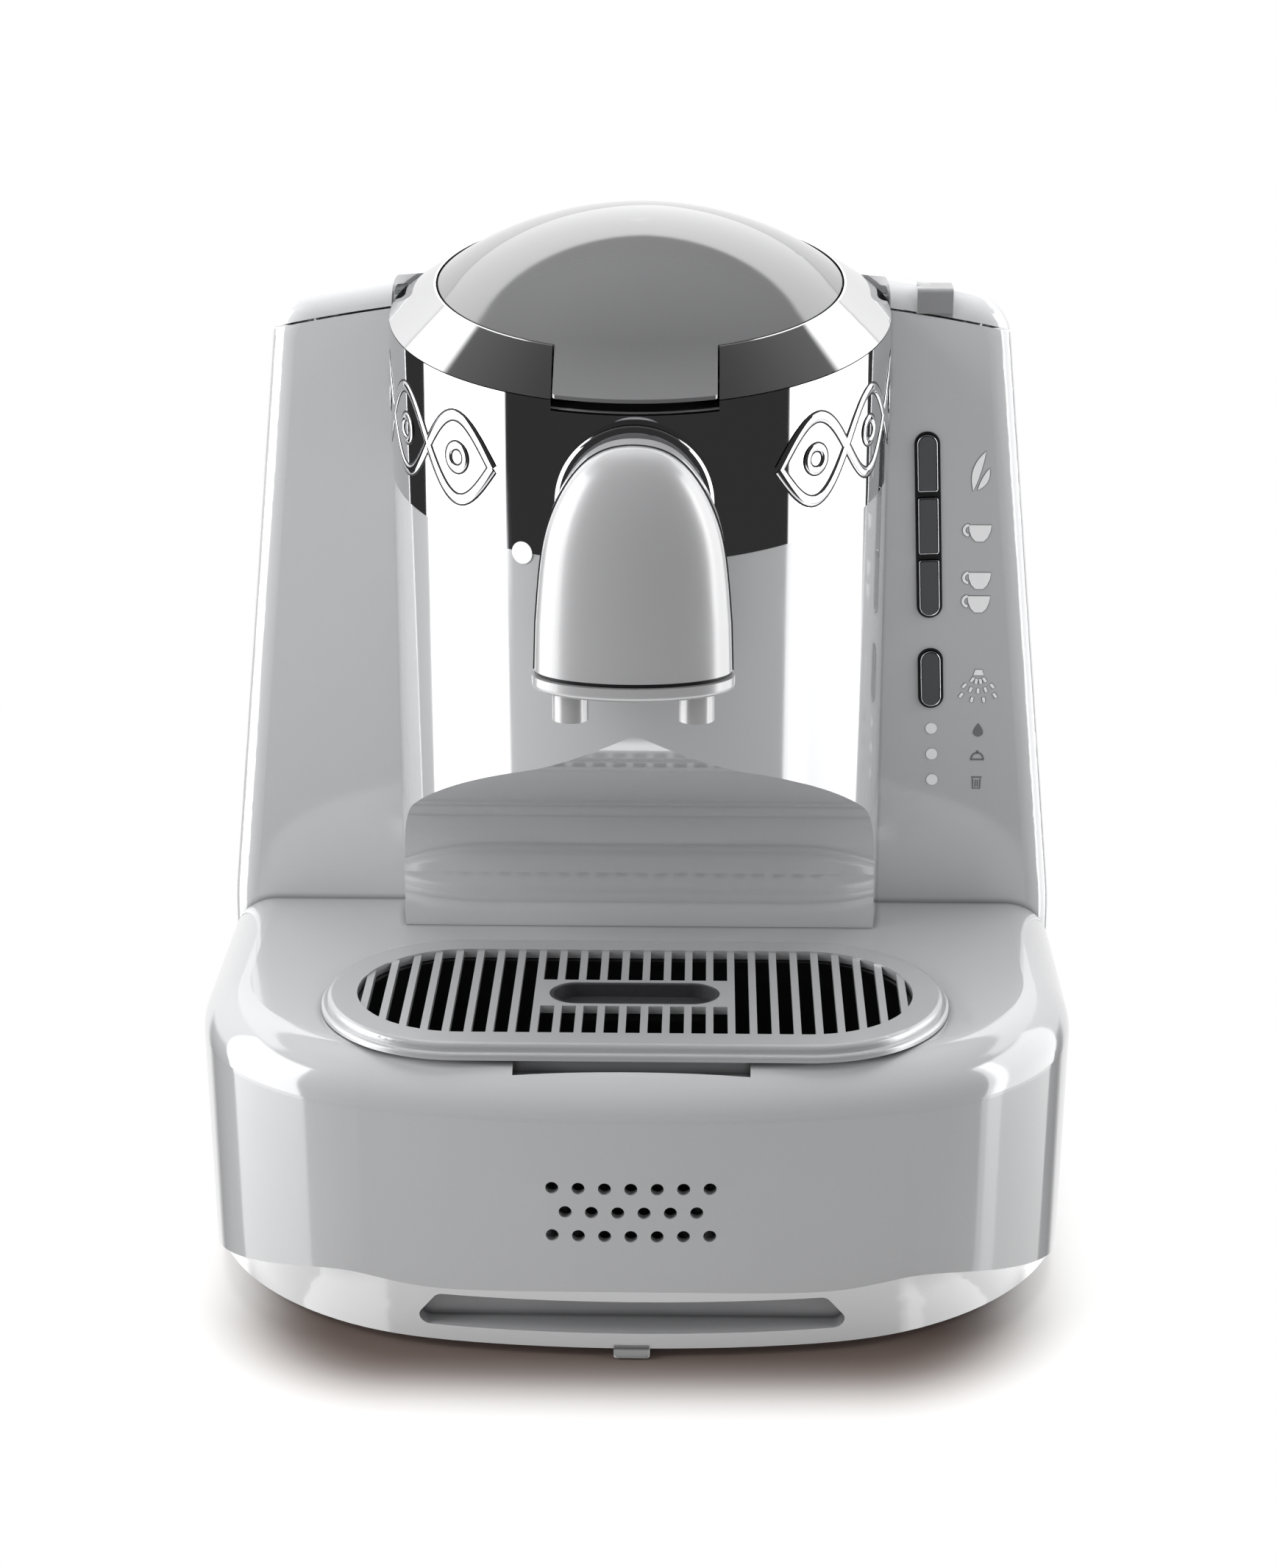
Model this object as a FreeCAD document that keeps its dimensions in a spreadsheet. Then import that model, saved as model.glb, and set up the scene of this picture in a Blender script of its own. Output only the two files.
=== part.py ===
import FreeCAD, Part
import math
import os
import Sketcher
from FreeCAD import Placement, Rotation, Vector

# Electric Turkish coffee maker, in millimetres, +Z up, +X to the right of someone facing it.
# The origin lies on the table under the middle of the machine, and the front looks along -Y.

doc = FreeCAD.newDocument("turkish_coffee_maker")
sheet = doc.addObject("Spreadsheet::Sheet", "Sizes")

# Driving sizes: name, value, meaning
DRIVING_SIZES = [
    ("base_width", 240, "width of the lower case at its seam"),
    ("total_depth", 245, "depth of the lower case, front to back"),
    ("foot_height", 3, "how far the rubber feet lift the case"),
    ("seam_height", 72, "height of the seam between apron and deck"),
    ("groove_height", 0.35, "height of the groove that marks the seam"),
    ("groove_depth", 0.6, "depth of the groove that marks the seam"),
    ("deck_height", 86, "height of the deck that carries the cups"),
    ("wall", 2.5, "wall of the plastic shells"),
    ("fit_gap", 0.3, "clearance between pieces that are assembled together"),
    ("front_bow", 320, "radius of the bowed front in plan"),
    ("corner_radius", 62, "front corner radius in plan"),
    ("rear_radius", 14, "rear corner radius in plan"),
    ("apron_draft", 1.2, "how much the apron narrows on each side from seam to underside"),
    ("deck_edge", 13, "radius of the rounding around the deck"),
    ("lip_recess", 7.1, "how far the underside's front edge stands back from the apron"),
    ("lip_height", 22.8, "height of the sloping lip in the middle of the front"),
    ("lip_bow", 410, "radius of the lip's upper edge in plan"),
    ("lip_corner", 84, "corner radius of the underside's front edge"),
    ("lip_spread", 2, "how far the lip's outline runs past the case on each side"),
    ("grip_width", 119.5, "width of the lifting grip in the lip"),
    ("grip_height", 11.3, "height of the lifting grip"),
    ("grip_rise", 5.3, "height of the grip's lower edge above the underside"),
    ("grip_depth", 9, "depth of the lifting grip"),
    ("speaker_hole", 1.7, "radius of the sound holes"),
    ("speaker_pitch", 6.9, "spacing of the sound holes"),
    ("speaker_height", 46.4, "height of the middle row of sound holes"),
    ("cover_thickness", 2.5, "thickness of the bottom cover"),
    ("tongue_width", 9.6, "width of the tongue at the front of the bottom cover"),
    ("foot_radius", 9, "radius of a rubber foot"),
    ("foot_inset", 30, "distance of the feet from the sides"),
    ("foot_setback", 52, "distance of the front feet from the front"),
    ("foot_rear", 24, "distance of the rear feet from the back"),
    ("screw_radius", 3.4, "radius of a screw head"),
    ("screw_length", 12, "length of a case screw"),
    ("tower_setback", 126, "distance of the tower's face from the front"),
    ("tower_rear_step", 1.5, "how far the tower's back stands in from the lower case"),
    ("shoulder_width", 206.8, "width of the tower at shoulder height"),
    ("shoulder_height", 250, "height where the shoulder width is measured"),
    ("foot_bend", 100, "radius of the bend where the tower's sides start to lean"),
    ("shoulder_radius", 14, "radius of the tower's upper corners"),
    ("crown_height", 275, "height of the tower's arched top at its front"),
    ("crown_bow", 500, "radius of the arched top"),
    ("roof_slope", 11, "fall of the arched top towards the back in degrees"),
    ("tower_edge", 7, "rounding of the tower's front edges"),
    ("seam_drop", 8.5, "how far the top cover's seam lies below the arched top"),
    ("seam_gap", 0.6, "gap between the top cover and the tower"),
    ("column_setback", 118, "distance of the column's axis from the front"),
    ("column_radius", 68.4, "radius of the brewing column"),
    ("column_wall", 2.5, "wall of the brewing column"),
    ("rim_height", 262, "height of the column's upper edge on its axis"),
    ("rim_tilt", 9, "forward tilt of the column's upper edge in degrees"),
    ("band_height", 42, "height of the chrome band"),
    ("band_thickness", 1.4, "thickness of the chrome band"),
    ("band_proud", 0.3, "how far the band stands out of the column"),
    ("bezel_rise", 9.2, "rise of the conical bezel above the column's edge"),
    ("bezel_opening", 55.7, "radius of the bezel's opening"),
    ("bezel_land", 0.6, "flat land around the bezel's opening"),
    ("skirt_depth", 6, "depth of the bezel's skirt inside the column"),
    ("lid_clearance", 0.6, "gap around the brew lid"),
    ("lid_wall", 2.4, "wall of the brew lid"),
    ("lid_rim", 5.8, "height of the brew lid's rim"),
    ("dome_rise", 17.2, "rise of the brew lid's dome"),
    ("tab_width", 42.4, "width of the brew lid's front tab"),
    ("tab_reach", 2.4, "how far the tab stands out in front of the column"),
    ("tab_front", 0.9, "height of the tab's front edge"),
    ("tab_tip", 1.9, "height of the tab's tip above the column's edge"),
    ("tab_gap", 0.5, "gap beside the tab"),
    ("tab_corner", 1.2, "rounding of the tab's corners"),
    ("tab_drop", 3, "depth of the notch under the tab"),
    ("hinge_setback", 62, "distance of the brew lid's hinge behind the column's axis"),
    ("hinge_rise", 7.8, "height of the brew lid's hinge above the column's edge"),
    ("knuckle_radius", 2.6, "radius of the hinge knuckles"),
    ("knuckle_width", 18, "width of the lid's hinge knuckle"),
    ("ear_width", 4, "width of a hinge ear"),
    ("pin_radius", 1.5, "radius of the brew lid's hinge pin"),
    ("running_gap", 0.05, "radial gap between a pin and its bore"),
    ("scoop_height", 162, "height where the column's front starts to turn under"),
    ("scoop_turn", 15, "radius of the turn at the top of the scoop"),
    ("scoop_slope", 58, "steepness of the scoop's ceiling in degrees from upright"),
    ("scoop_back", 105, "distance of the scoop's back wall from the front"),
    ("scoop_hollow", 30, "radius of the hollow between the scoop's ceiling and back wall"),
    ("pot_radius", 41, "outer radius of the brewing pot"),
    ("pot_wall", 1.2, "wall of the brewing pot"),
    ("pot_base", 175, "height of the brewing pot's underside"),
    ("pot_top", 246, "height of the brewing pot's rim"),
    ("pot_flange", 43.6, "radius of the brewing pot's rim flange"),
    ("carrier_thickness", 3, "thickness of the ring that carries the pot"),
    ("heater_radius", 36, "radius of the pot's heater"),
    ("heater_thickness", 7.8, "thickness of the pot's heater"),
    ("spout_level", 226, "height of the pouring tube"),
    ("tube_radius", 6, "outer radius of the pouring tube"),
    ("tube_wall", 1.5, "wall of the pouring tube"),
    ("collar_radius", 20.6, "radius of the round chrome collar"),
    ("collar_reach", 4.7, "how far the collar stands out of the column"),
    ("neck_radius", 14, "radius of the spout's neck"),
    ("neck_length", 7.5, "length of the neck out of the column"),
    ("spout_back", 9, "depth of the spout's rear shell"),
    ("spout_bulge", 13.5, "how far the spout's cover bulges forward"),
    ("spout_top", 244, "height of the spout's top"),
    ("spout_half", 25.5, "half width of the spout at its lower edge"),
    ("spout_bottom", 185.4, "height of the spout cover's lower edge"),
    ("spout_wall", 2, "wall of the spout's shells"),
    ("spout_gap", 1.2, "height of the dark gap between cover and lip"),
    ("lip_thickness", 3.6, "thickness of the spout's lower lip"),
    ("nozzle_radius", 4.7, "radius of a pouring nozzle"),
    ("nozzle_bore", 2.6, "radius of a nozzle's bore"),
    ("nozzle_length", 8.4, "length of a nozzle below the lip"),
    ("nozzle_spacing", 32.5, "distance between the nozzles"),
    ("window_radius", 3, "radius of the sensor window"),
    ("window_height", 210, "height of the sensor window"),
    ("window_angle", 25.6, "angle of the sensor window from the front in degrees"),
    ("tray_setback", 46.8, "distance of the cup grille's centre from the front"),
    ("tray_half_length", 46, "half distance between the centres of the tray's round ends"),
    ("grille_opening", 29.2, "radius of the grille ring's opening at its ends"),
    ("ring_radius", 37.2, "outer radius of the grille ring's upper tier"),
    ("ring_skirt", 38.9, "outer radius of the grille ring's skirt"),
    ("ring_skirt_height", 1.8, "height of the ring's skirt"),
    ("ring_height", 4, "height of the grille ring above its seat"),
    ("ring_seat", 0.3, "gap between the grille ring and the deck"),
    ("bar_width", 2, "width of a grille bar"),
    ("bar_pitch", 5.8, "spacing of the grille bars"),
    ("bar_height", 2.2, "height of the grille bars"),
    ("bar_sink", 0.5, "how far the bars lie below the ring's top"),
    ("pocket_half", 15.5, "half length of the pocket's straight sides"),
    ("pocket_radius", 7.5, "radius of the pocket's round ends"),
    ("pocket_shift", 0.8, "distance of the pocket in front of the grille's centre"),
    ("rail_half", 9.1, "half depth of the grille's middle rail"),
    ("pocket_depth", 5, "depth of the dark pocket"),
    ("container_radius", 29.6, "radius of the drip container's round ends"),
    ("container_depth", 24, "depth of the drip container"),
    ("container_flange", 34.6, "radius of the drip container's flange"),
    ("flange_thickness", 1.4, "thickness of the container's flange"),
    ("container_wall", 1.8, "wall of the drip container"),
    ("deck_hole", 30.6, "radius of the deck opening's round ends"),
    ("slot_width", 62, "width of the finger slot in front of the grille"),
    ("slot_depth", 5.6, "depth of the finger slot"),
    ("slot_front", 6.2, "distance of the finger slot's front edge from the front"),
    ("slot_back", 14.4, "distance of the finger slot's back edge from the front"),
    ("button_width", 5.7, "width of a button"),
    ("button_length", 16.4, "length of a button"),
    ("button_pitch", 18.1, "spacing of the three upper buttons"),
    ("button_gap", 0.15, "gap around a button"),
    ("button_proud", 0.9, "how far a button stands out of its frame"),
    ("button_depth", 4, "thickness of a button"),
    ("button_travel", 1.2, "travel of a button"),
    ("button_offset", 81.2, "distance of the middle button from the centre plane"),
    ("button_level", 199.8, "height of the middle button"),
    ("clean_level", 154.8, "height of the cleaning button"),
    ("button_lean", 2.4, "lean of the button row in degrees"),
    ("frame_rim", 0.55, "rim of the button frames"),
    ("frame_depth", 3, "depth of the button frames"),
    ("frame_proud", 0.25, "how far the button frames stand out of the panel"),
    ("stem_radius", 1.5, "radius of a button's stem"),
    ("led_radius", 1.65, "radius of a lamp lens"),
    ("led_level", 131.9, "height of the middle lamp lens"),
    ("led_pitch", 7.8, "spacing of the lamp lenses"),
    ("led_length", 4, "length of a lamp lens"),
    ("board_gap", 9, "distance between the panel's inner face and the control board"),
    ("board_width", 28, "width of the control board"),
    ("board_length", 112, "length of the control board"),
    ("board_thickness", 1.6, "thickness of a circuit board"),
    ("switch_size", 6, "width of a key switch"),
    ("switch_height", 3.4, "height of a key switch"),
    ("nub_length", 1, "length of a key switch's nub"),
    ("tank_half", 78, "half width of the water tank"),
    ("tank_gap", 5.1, "distance between the column and the tank's front wall"),
    ("tank_wall", 2, "wall of the water tank"),
    ("tank_base", 100, "height of the tank's underside"),
    ("tank_headroom", 7, "height from the tank's side walls to the top cover's seam"),
    ("tank_corner", 8, "corner radius of the tank"),
    ("cradle_thickness", 6, "thickness of the tank's cradle"),
    ("valve_radius", 7, "radius of the tank's outlet valve"),
    ("valve_length", 8, "length of the outlet valve below the tank"),
    ("valve_offset", 45, "distance of the outlet valve from the centre plane"),
    ("pump_gap", 1, "distance between the pump and the lower case's back wall"),
    ("cap_hinge_drop", 20, "depth of the top cover's hinge below the arched top"),
    ("cap_hinge_inset", 0.8, "depth of the top cover's hinge in the tower's back"),
    ("cap_knuckle", 2.2, "radius of the top cover's knuckles"),
    ("cap_knuckle_width", 10, "width of the top cover's knuckles"),
    ("cap_knuckle_offset", 55, "distance of the knuckles from the centre plane"),
    ("cap_pin_radius", 1.1, "radius of the top cover's hinge pins"),
    ("cap_cut_gap", 0.8, "gap between the top cover and the column"),
    ("finger_tab_width", 10, "width of the top cover's finger tab"),
    ("finger_tab_depth", 9, "depth of the finger tab"),
    ("finger_tab_offset", 81.3, "distance of the finger tab from the centre plane"),
    ("finger_tab_level", 260.1, "height of the finger tab's underside"),
    ("finger_tab_height", 5.9, "height of the finger tab"),
    ("pump_radius", 17, "radius of the water pump"),
    ("pump_length", 50, "length of the water pump"),
    ("pump_lift", 5, "height of the pump's rubber mount"),
    ("hose_radius", 3.4, "outer radius of the hoses"),
    ("hose_bore", 2, "bore radius of the hoses"),
    ("hose_bend", 14, "bend radius of the hoses"),
    ("power_board_width", 80, "width of the power board"),
    ("power_board_depth", 56, "depth of the power board"),
    ("power_board_lift", 6, "height of the power board's posts"),
    ("power_side", 58, "distance of the power board's centre from the side"),
    ("power_inset", 39, "distance of the power board's centre from the back"),
    ("post_radius", 3, "radius of the board posts"),
    ("speaker_radius", 21, "radius of the loudspeaker"),
    ("speaker_depth", 12, "depth of the loudspeaker"),
    ("service_width", 150, "width of the service cover at the back"),
    ("service_low", 78, "height of the service cover's lower edge"),
    ("service_high", 97, "height of the service cover's upper edge"),
    ("service_thickness", 2, "thickness of the service cover"),
    ("gland_radius", 7, "radius of the cord gland"),
    ("gland_bore", 3.6, "bore radius of the cord gland"),
    ("gland_flange", 10, "radius of the cord gland's flange"),
    ("gland_offset", 84, "distance of the cord gland from the centre plane"),
    ("gland_height", 28, "height of the cord gland"),
]

for row, (alias, value, meaning) in enumerate(DRIVING_SIZES, 1):
    sheet.set(f"A{row}", str(value))
    sheet.setAlias(f"A{row}", alias)
    sheet.set(f"B{row}", meaning)
doc.recompute()


class SheetSizes:
    """Reads a driving size from the sheet by its name."""

    def __getattr__(self, name):
        return float(sheet.get(name))


mm = SheetSizes()
nodes = []

# Planes and axes that several pieces share
front_y = -mm.total_depth / 2
back_y = mm.total_depth / 2
half_width = mm.base_width / 2
tower_y = front_y + mm.tower_setback
tower_back = back_y - mm.tower_rear_step
column_y = front_y + mm.column_setback
tray_y = front_y + mm.tray_setback
cover_top = mm.foot_height + mm.cover_thickness
FAR = 400.0

# The same planes as rules for the objects that are bound to the sheet
FRONT = "(-Sizes.total_depth / 2)"
COLUMN = f"({FRONT} + Sizes.column_setback)"
TOWER = f"({FRONT} + Sizes.tower_setback)"
TOWER_BACK = "(Sizes.total_depth / 2 - Sizes.tower_rear_step)"
COVER_TOP = "(Sizes.foot_height + Sizes.cover_thickness)"


def number(rule):
    """Value of a rule, for a first guess at a sketch."""
    result = sheet.evalExpression(rule)
    return float(getattr(result, "Value", result))


def bind(target, rules):
    """Binds properties of an object to rules on the sheet."""
    for name, rule in rules.items():
        target.setExpression(name, rule)
    return target


def place(target, x="0", y="0", z="0"):
    """Binds the place of an object."""
    return bind(target, {"Placement.Base.x": x, "Placement.Base.y": y, "Placement.Base.z": z})


def keep(target, label):
    """Registers a finished piece under the name of its node."""
    target.Label = label
    nodes.append(target)
    return target


def feature(label, shape, placement=None):
    """A piece whose shape is worked out below from the sheet's sizes."""
    target = doc.addObject("Part::Feature", label)
    target.Shape = shape
    if placement is not None:
        target.Placement = placement
    return keep(target, label)


def joined(shapes):
    """One solid from several that touch or overlap."""
    return shapes[0].fuse(shapes[1:]).removeSplitter()


def box(low, high):
    """Box between two corners."""
    size = high - low
    return Part.makeBox(size.x, size.y, size.z, low)


def rod(start, end, radius):
    """Cylinder from one point to another."""
    along = end - start
    return Part.makeCylinder(radius, along.Length, start, along)


def arc_edge(centre, radius, start, end):
    """Arc in a level plane, angles in radians."""
    def at(angle):
        return centre + Vector(radius * math.cos(angle), radius * math.sin(angle), 0)
    return Part.Arc(at(start), at((start + end) / 2), at(end)).toShape()


def upright_arc(centre, radius, start, end):
    """Arc in an upright plane across the machine, angles in radians from +X to +Z."""
    def at(angle):
        return centre + Vector(radius * math.cos(angle), 0, radius * math.sin(angle))
    return Part.Arc(at(start), at((start + end) / 2), at(end)).toShape()


def line(start, end):
    """Straight edge."""
    return Part.LineSegment(start, end).toShape()


def stadium(radius, low, high, half_length=None, centre_y=None):
    """Solid with two round ends, lying along X over the tray's centre."""
    reach = mm.tray_half_length if half_length is None else half_length
    middle = tray_y if centre_y is None else centre_y
    left = Vector(-reach, middle, low)
    right = Vector(reach, middle, low)
    rise = Vector(0, 0, high - low)
    edges = [
        arc_edge(right, radius, -math.pi / 2, math.pi / 2),
        line(right + Vector(0, radius, 0), left + Vector(0, radius, 0)),
        arc_edge(left, radius, math.pi / 2, 3 * math.pi / 2),
        line(left - Vector(0, radius, 0), right - Vector(0, radius, 0)),
    ]
    return Part.Face(Part.Wire(edges)).extrude(rise)


def edges_at_height(shape, height):
    """Edges of a shape that lie level at one height."""
    def level(edge):
        return all(abs(point.Z - height) < 1e-4 for point in edge.Vertexes)
    return [edge for edge in shape.Edges if level(edge)]


def corner_centre(width, front, bow, corner):
    """Centre of a front corner that is tangent to the side and to the bowed front."""
    x = width - corner
    return Vector(x, front + bow - math.sqrt((bow - corner) ** 2 - x * x), 0)


def plan_outline(inset, height):
    """Outline of the lower case seen from above."""
    width = half_width - inset - mm.apron_draft * (mm.seam_height - height) / (mm.seam_height - mm.foot_height)
    shrink = half_width - width
    front, back = front_y + shrink, back_y - shrink
    bow, corner, rear = mm.front_bow - shrink, mm.corner_radius - shrink, mm.rear_radius - shrink
    right = corner_centre(width, front, bow, corner)
    left = Vector(-right.x, right.y, 0)
    lift = Vector(0, 0, height)
    bow_centre = Vector(0, front + bow, 0)
    turn = math.atan2(right.y - bow_centre.y, right.x)
    rear_right = Vector(width - rear, back - rear, 0)
    rear_left = Vector(rear - width, back - rear, 0)
    edges = [
        arc_edge(bow_centre + lift, bow, -math.pi - turn, turn),
        arc_edge(right + lift, corner, turn, 0),
        line(Vector(width, right.y, height), Vector(width, rear_right.y, height)),
        arc_edge(rear_right + lift, rear, 0, math.pi / 2),
        line(Vector(rear_right.x, back, height), Vector(rear_left.x, back, height)),
        arc_edge(rear_left + lift, rear, math.pi / 2, math.pi),
        line(Vector(-width, rear_left.y, height), Vector(-width, left.y, height)),
        arc_edge(left + lift, corner, -math.pi, -math.pi - turn),
    ]
    return Part.Wire(edges)


def lip_limit(inset, low, high):
    """Solid whose slanting front is the sloping lip under the apron."""
    reach = half_width + mm.lip_spread
    front = front_y + mm.lip_recess
    corner = corner_centre(reach, front, mm.front_bow, mm.lip_corner)
    touch = corner.x * mm.front_bow / (mm.front_bow - mm.lip_corner)

    def low_edge(x):
        if abs(x) <= touch:
            return front + mm.front_bow - math.sqrt(mm.front_bow ** 2 - x * x)
        return corner.y - math.sqrt(max(0, mm.lip_corner ** 2 - (abs(x) - corner.x) ** 2))

    def high_edge(x):
        return front_y + mm.lip_bow - math.sqrt(mm.lip_bow ** 2 - x * x)

    def outline(height):
        share = (height - mm.foot_height) / mm.lip_height
        points = []
        for step in range(-8, 9):
            x = reach * math.sin(step * math.pi / 16)
            y = low_edge(x) + share * (high_edge(x) - low_edge(x))
            points.append(Vector(x * (1 - inset / reach), y + inset, height))
        curve = Part.BSplineCurve()
        curve.interpolate(points)
        left, right = points[0], points[-1]
        aside = Vector(mm.wall * 4, 0, 0)
        behind = Vector(0, back_y + mm.wall * 4, 0)
        corners = [right, right + aside, Vector(right.x, 0, height) + aside + behind,
                   Vector(left.x, 0, height) - aside + behind, left - aside, left]
        return Part.Wire([curve.toShape()] + [line(a, b) for a, b in zip(corners, corners[1:])])

    return Part.makeLoft([outline(low), outline(high)], True, True)


def case_solid(inset, low, high):
    """The lower case as a solid, shrunk by an inset, between two heights."""
    body = Part.makeLoft([plan_outline(inset, low), plan_outline(inset, high)], True, True)
    lip_end = mm.foot_height + 1.6 * mm.lip_height
    lip = lip_limit(inset, low - 0.01, lip_end)
    below = box(Vector(-FAR, -FAR, low - 1), Vector(FAR, FAR, min(high + 1, lip_end - 0.01)))
    return body.cut(below.cut(lip))


def grip_solid(grow):
    """The lifting grip's hollow in the lip, grown by a wall."""
    low = mm.foot_height + mm.grip_rise - grow
    high = mm.foot_height + mm.grip_rise + mm.grip_height + grow
    back = front_y + mm.lip_recess + mm.grip_depth + grow
    wide = mm.grip_width / 2 + grow
    narrow = wide - 0.7 * mm.grip_height
    ahead = front_y - 1 if grow == 0 else front_y + mm.lip_recess - 1
    corners = [Vector(-wide, ahead, low), Vector(wide, ahead, low),
               Vector(narrow, ahead, high), Vector(-narrow, ahead, high)]
    face = Part.Face(Part.makePolygon(corners + corners[:1]))
    solid = face.extrude(Vector(0, back - ahead, 0))
    slanted = [e for e in solid.Edges
               if abs(e.tangentAt(e.FirstParameter).y) > 0.99]
    return solid.makeFillet(3, slanted)


def apron():
    """Lower case wall with its lip, lifting grip and sound holes."""
    outer = case_solid(0, mm.foot_height, mm.seam_height)
    inner = case_solid(mm.wall, mm.foot_height - 0.5, mm.seam_height + 0.5)
    shell = outer.cut(inner)
    shell = shell.fuse(grip_solid(mm.wall).common(outer)).cut(grip_solid(0))
    holes = []
    for row, count in ((-1, 7), (0, 6), (1, 7)):
        for index in range(count):
            x = (index - (count - 1) / 2) * mm.speaker_pitch
            z = mm.speaker_height + row * mm.speaker_pitch
            holes.append(rod(Vector(x, front_y - 5, z), Vector(x, front_y + 12, z), mm.speaker_hole))
    gland = rod(Vector(-mm.gland_offset, back_y - 8, mm.gland_height),
                Vector(-mm.gland_offset, back_y + 8, mm.gland_height),
                mm.gland_radius + mm.running_gap)
    groove = Part.Face([plan_outline(-1, mm.seam_height), plan_outline(mm.groove_depth, mm.seam_height)])
    groove = groove.extrude(Vector(0, 0, -mm.groove_height))
    return shell.cut(holes + [gland, groove])


feature("lower_case", apron())


def bottom_cover():
    """Plate that closes the case from below, with its front tongue."""
    plate = case_solid(mm.wall + mm.fit_gap, mm.foot_height, cover_top)
    tongue_front = front_y + mm.lip_recess - 1
    tongue_back = tongue_front + 16
    half = mm.tongue_width / 2
    arm = box(Vector(-half, tongue_front, mm.foot_height / 2),
              Vector(half, tongue_back, mm.foot_height))
    nose = box(Vector(-half, tongue_front, 0.6), Vector(half, tongue_front + 4, mm.foot_height - 0.05))
    nose = nose.makeFillet(1.2, [e for e in nose.Edges
                                 if abs(e.tangentAt(e.FirstParameter).z) > 0.99])
    return joined([plate, arm, nose])


def foot_places():
    """Centres of the four rubber feet."""
    side = half_width - mm.foot_inset
    return [Vector(x, y, 0) for x in (-side, side)
            for y in (front_y + mm.foot_setback, back_y - mm.foot_rear)]


def screw_places():
    """Centres of the bottom cover's screws."""
    side = half_width - mm.foot_inset + 14
    return [Vector(x, y, 0) for x in (-side, side) for y in (-0.1 * mm.total_depth, 0.3 * mm.total_depth)]


foot_seat = 0.8
cover = bottom_cover()
cover = cover.cut([Part.makeCylinder(mm.foot_radius + mm.running_gap, foot_seat,
                                     at + Vector(0, 0, mm.foot_height)) for at in foot_places()])
cover = cover.cut([Part.makeCylinder(mm.screw_radius + mm.running_gap, 1.2,
                                     at + Vector(0, 0, mm.foot_height)) for at in screw_places()])
cover = cover.cut([Part.makeCylinder(mm.screw_radius / 2 + mm.running_gap, mm.cover_thickness * 2,
                                     at + Vector(0, 0, mm.foot_height - 1)) for at in screw_places()])
feature("bottom_cover", cover)


def group(label, parts):
    """Identical pieces that share a node, each a solid of its own."""
    target = doc.addObject("Part::Compound", label)
    target.Links = parts
    return keep(target, label)


def bound_cylinder(name, radius, height, x="0", y="0", z="0", turn=None):
    """Part cylinder whose sizes and place are bound to the sheet."""
    target = doc.addObject("Part::Cylinder", name)
    if turn is not None:
        target.Placement.Rotation = turn
    bind(target, {"Radius": radius, "Height": height})
    return place(target, x, y, z)


SIDE = "(Sizes.base_width / 2 - Sizes.foot_inset)"
feet = []
for side_name, side in (("left", f"-{SIDE}"), ("right", SIDE)):
    for end_name, along in (("front", f"{FRONT} + Sizes.foot_setback"),
                            ("rear", "Sizes.total_depth / 2 - Sizes.foot_rear")):
        feet.append(bound_cylinder(f"foot_{end_name}_{side_name}", "Sizes.foot_radius",
                                   f"Sizes.foot_height + {foot_seat}", side, along))
group("rubber_feet", feet)

screws = []
for index, at in enumerate(screw_places()):
    head = Part.makeCylinder(mm.screw_radius, 1.1, at + Vector(0, 0, mm.foot_height))
    shank = Part.makeCylinder(mm.screw_radius / 2, mm.screw_length, at + Vector(0, 0, mm.foot_height))
    cross = [box(Vector(-2, -0.4, 0), Vector(2, 0.4, 0.7)), box(Vector(-0.4, -2, 0), Vector(0.4, 2, 0.7))]
    for bit in cross:
        bit.translate(at + Vector(0, 0, mm.foot_height - 0.1))
    screw = doc.addObject("Part::Feature", f"bottom_screw_{index}")
    screw.Shape = head.fuse(shank).cut(cross)
    screws.append(screw)
group("bottom_screws", screws)


def deck_solid(inset):
    """The deck with its rounded edge as a solid, shrunk by an inset."""
    low = mm.seam_height - (0 if inset == 0 else 1)
    high = mm.deck_height - inset
    outline = plan_outline(inset, mm.seam_height)
    outline.translate(Vector(0, 0, low - mm.seam_height))
    solid = Part.Face(outline).extrude(Vector(0, 0, high - low))
    return solid.makeFillet(mm.deck_edge - inset, edges_at_height(solid, high))


def finger_slot(grow):
    """Hollow under the front of the grille ring for a fingertip."""
    return box(Vector(-mm.slot_width / 2 - grow, front_y + mm.slot_front - grow,
                      mm.deck_height - mm.slot_depth - grow),
               Vector(mm.slot_width / 2 + grow, front_y + mm.slot_back + grow, mm.deck_height + 5))


def deck():
    """Upper skin in front of the tower, with the drip container's opening."""
    outer = deck_solid(0)
    shell = outer.cut(deck_solid(mm.wall))
    slot_wall = 1.2
    shell = shell.fuse(finger_slot(slot_wall).common(outer)).cut(finger_slot(0))
    well = stadium(mm.deck_hole, 0, mm.deck_height + 5)
    behind = box(Vector(-FAR, tower_y - mm.running_gap, 0), Vector(FAR, FAR, FAR))
    return shell.cut([well, behind]).removeSplitter()


feature("deck_cover", deck())


def roof_fall(y):
    """How far the arched top has fallen at a place behind the tower's face."""
    return (y - tower_y) * math.tan(math.radians(mm.roof_slope))


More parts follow.
